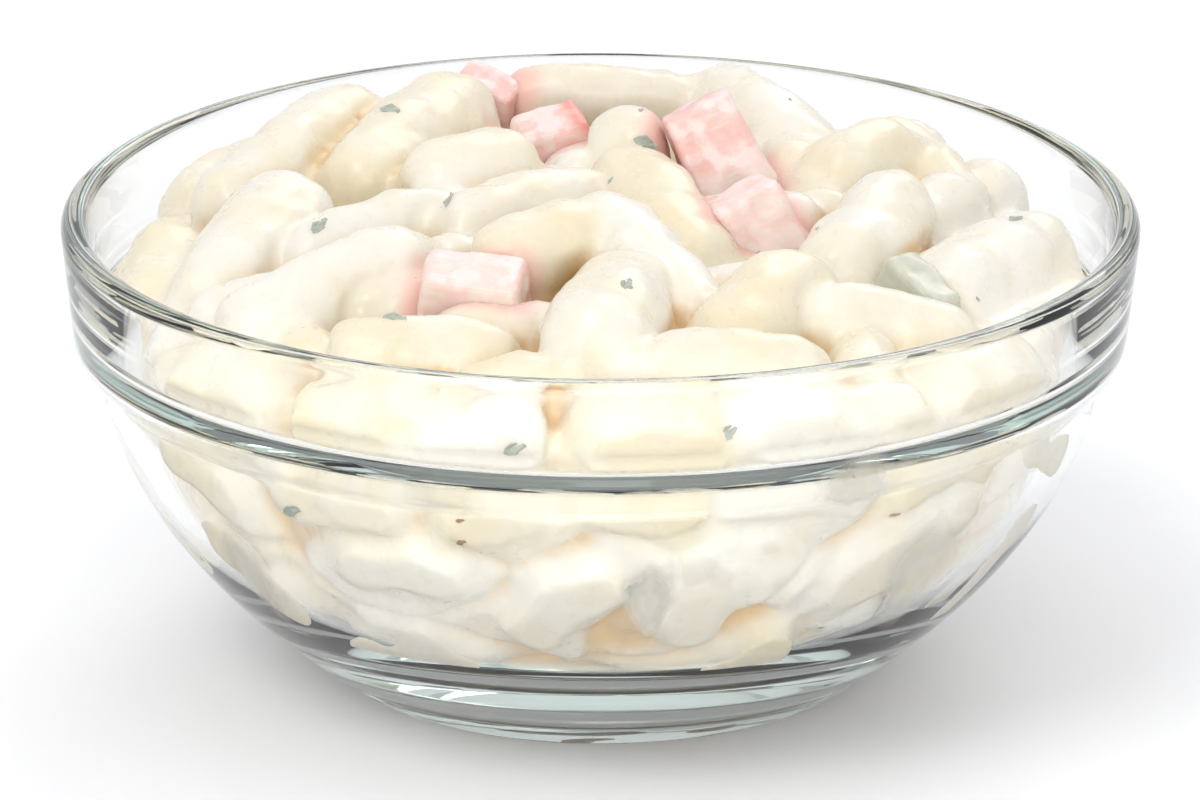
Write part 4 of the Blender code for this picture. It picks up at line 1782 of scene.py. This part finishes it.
@dataclass
class Studio:
    """White sweep, soft light from all round, and the camera."""

    lens: float = 270.0
    sensor: float = 36.0
    aim_height: float = 29.74 * MM
    elevation: float = 19.19
    distance: float = 1.008
    roll: float = 0.18
    floor_size: float = 8.0
    paper: str = "FAFAFA"
    paper_roughness: float = 0.9
    paper_ior: float = 1.3
    air: str = "F6F7FB"
    front_edges: Pair = (-0.8, -0.2)
    front_strength: Pair = (0.58, 0.9)
    inner_bounces: int = 8
    soft_bounces: int = 2

    def lay_floor(self) -> None:
        """A plain pale floor."""
        deselect_all()
        bpy.ops.mesh.primitive_plane_add(size=self.floor_size, location=(0, 0, 0))
        floor = start_piece("studio_floor")
        made, tree, out = new_material("white paper sweep")
        wires = {"Base Color": linear(self.paper), "Roughness": self.paper_roughness, "IOR": self.paper_ior}
        add_surface(tree, out, wires)
        floor.data.materials.append(made)

    def light(self) -> None:
        """A white room with a darker front, and three soft boxes."""
        world = bpy.data.worlds.new("white room")
        bpy.context.scene.world = world
        world.use_nodes = True
        tree = world.node_tree
        tree.nodes.clear()
        out = tree.nodes.new("ShaderNodeOutputWorld")
        way = add_node(tree, "ShaderNodeTexCoord").outputs["Generated"]
        parts = add_node(tree, "ShaderNodeSeparateXYZ", {0: way})
        front = map_range(tree, parts.outputs["Y"], self.front_edges, self.front_strength)
        shade = add_node(tree, "ShaderNodeBackground", {"Color": linear(self.air), "Strength": front})
        plain = add_node(tree, "ShaderNodeBackground", {"Color": (1, 1, 1, 1), "Strength": 1.0})
        seen = add_node(tree, "ShaderNodeLightPath").outputs["Is Camera Ray"]
        shown = add_node(tree, "ShaderNodeMixShader", {0: seen, 1: shade.outputs[0], 2: plain.outputs[0]})
        tree.links.new(shown.outputs[0], out.inputs["Surface"])
        for box in SOFT_BOXES:
            self.soft_box(*box)

    def soft_box(self, name: str, place: Triple, size: float, power: float) -> None:
        """Adds one soft box that faces the bowl.

        Args:
            name: its name.
            place: where it hangs.
            size: its side.
            power: its power in watts.
        """
        aim = Vector((0, 0, self.aim_height)) - Vector(place)
        turn = aim.to_track_quat("-Z", "Y").to_euler()
        bpy.ops.object.light_add(type="AREA", location=place, rotation=turn)
        lamp = bpy.context.active_object
        lamp.name = name
        lamp.data.size = size
        lamp.data.energy = power

    def set_camera(self) -> None:
        """A long lens a metre away, as a product is photographed."""
        tilt = math.radians(self.elevation)
        aim = Vector((0, 0, self.aim_height))
        place = aim + Vector((0, -math.cos(tilt), math.sin(tilt))) * self.distance
        bpy.ops.object.camera_add(location=place)
        camera = bpy.context.active_object
        camera.name = "product_camera"
        rolled = Euler((0, 0, math.radians(self.roll))).to_quaternion()
        turn = (aim - place).to_track_quat("-Z", "Y") @ rolled
        camera.rotation_euler = turn.to_euler()
        camera.data.lens = self.lens
        camera.data.sensor_width = self.sensor
        camera.data.clip_start = 0.01
        bpy.context.scene.camera = camera

    def build(self) -> None:
        """Sets up floor, light and camera."""
        self.set_camera()
        self.lay_floor()
        self.light()
        bpy.context.scene.view_settings.view_transform = "Standard"
        bpy.context.scene.cycles.glossy_bounces = self.inner_bounces
        bpy.context.scene.cycles.diffuse_bounces = self.soft_bounces


def report(piece: bpy.types.Object) -> None:
    """Logs a finished piece with its number of faces."""
    log.info("%s: %d faces", piece.name, len(piece.data.polygons))


def main() -> None:
    """Builds the studio and then the bowl, its salad and what lies in it."""
    logging.basicConfig(level=logging.INFO, format="%(message)s")
    Studio().build()
    bowl = StackingBowl()
    glass = bowl.build()
    bowl.dress(glass)
    report(glass)
    salad = SaladHeap(bowl)
    heap = salad.build()
    salad.dress(heap, PINK_BLOCKS)
    report(heap)
    surimi = CrabStick().make()
    for block in PINK_BLOCKS:
        piece = block.build()
        block.dress(piece, surimi, "pink_block")
        report(piece)
    pickle = PICKLE_BLOCK.build()
    PICKLE_BLOCK.dress(pickle, PickledCucumber().make(), "pickle")
    report(pickle)
    dill = DillBits(bowl)
    bits = dill.build(heap)
    dill.dress(bits)
    report(bits)
    pepper = PepperSpecks(bowl)
    specks = pepper.build(heap)
    pepper.dress(specks)
    report(specks)
    smears = GlassSmears(bowl)
    film = smears.build()
    smears.dress(film)
    report(film)


if __name__ == "__main__":
    main()
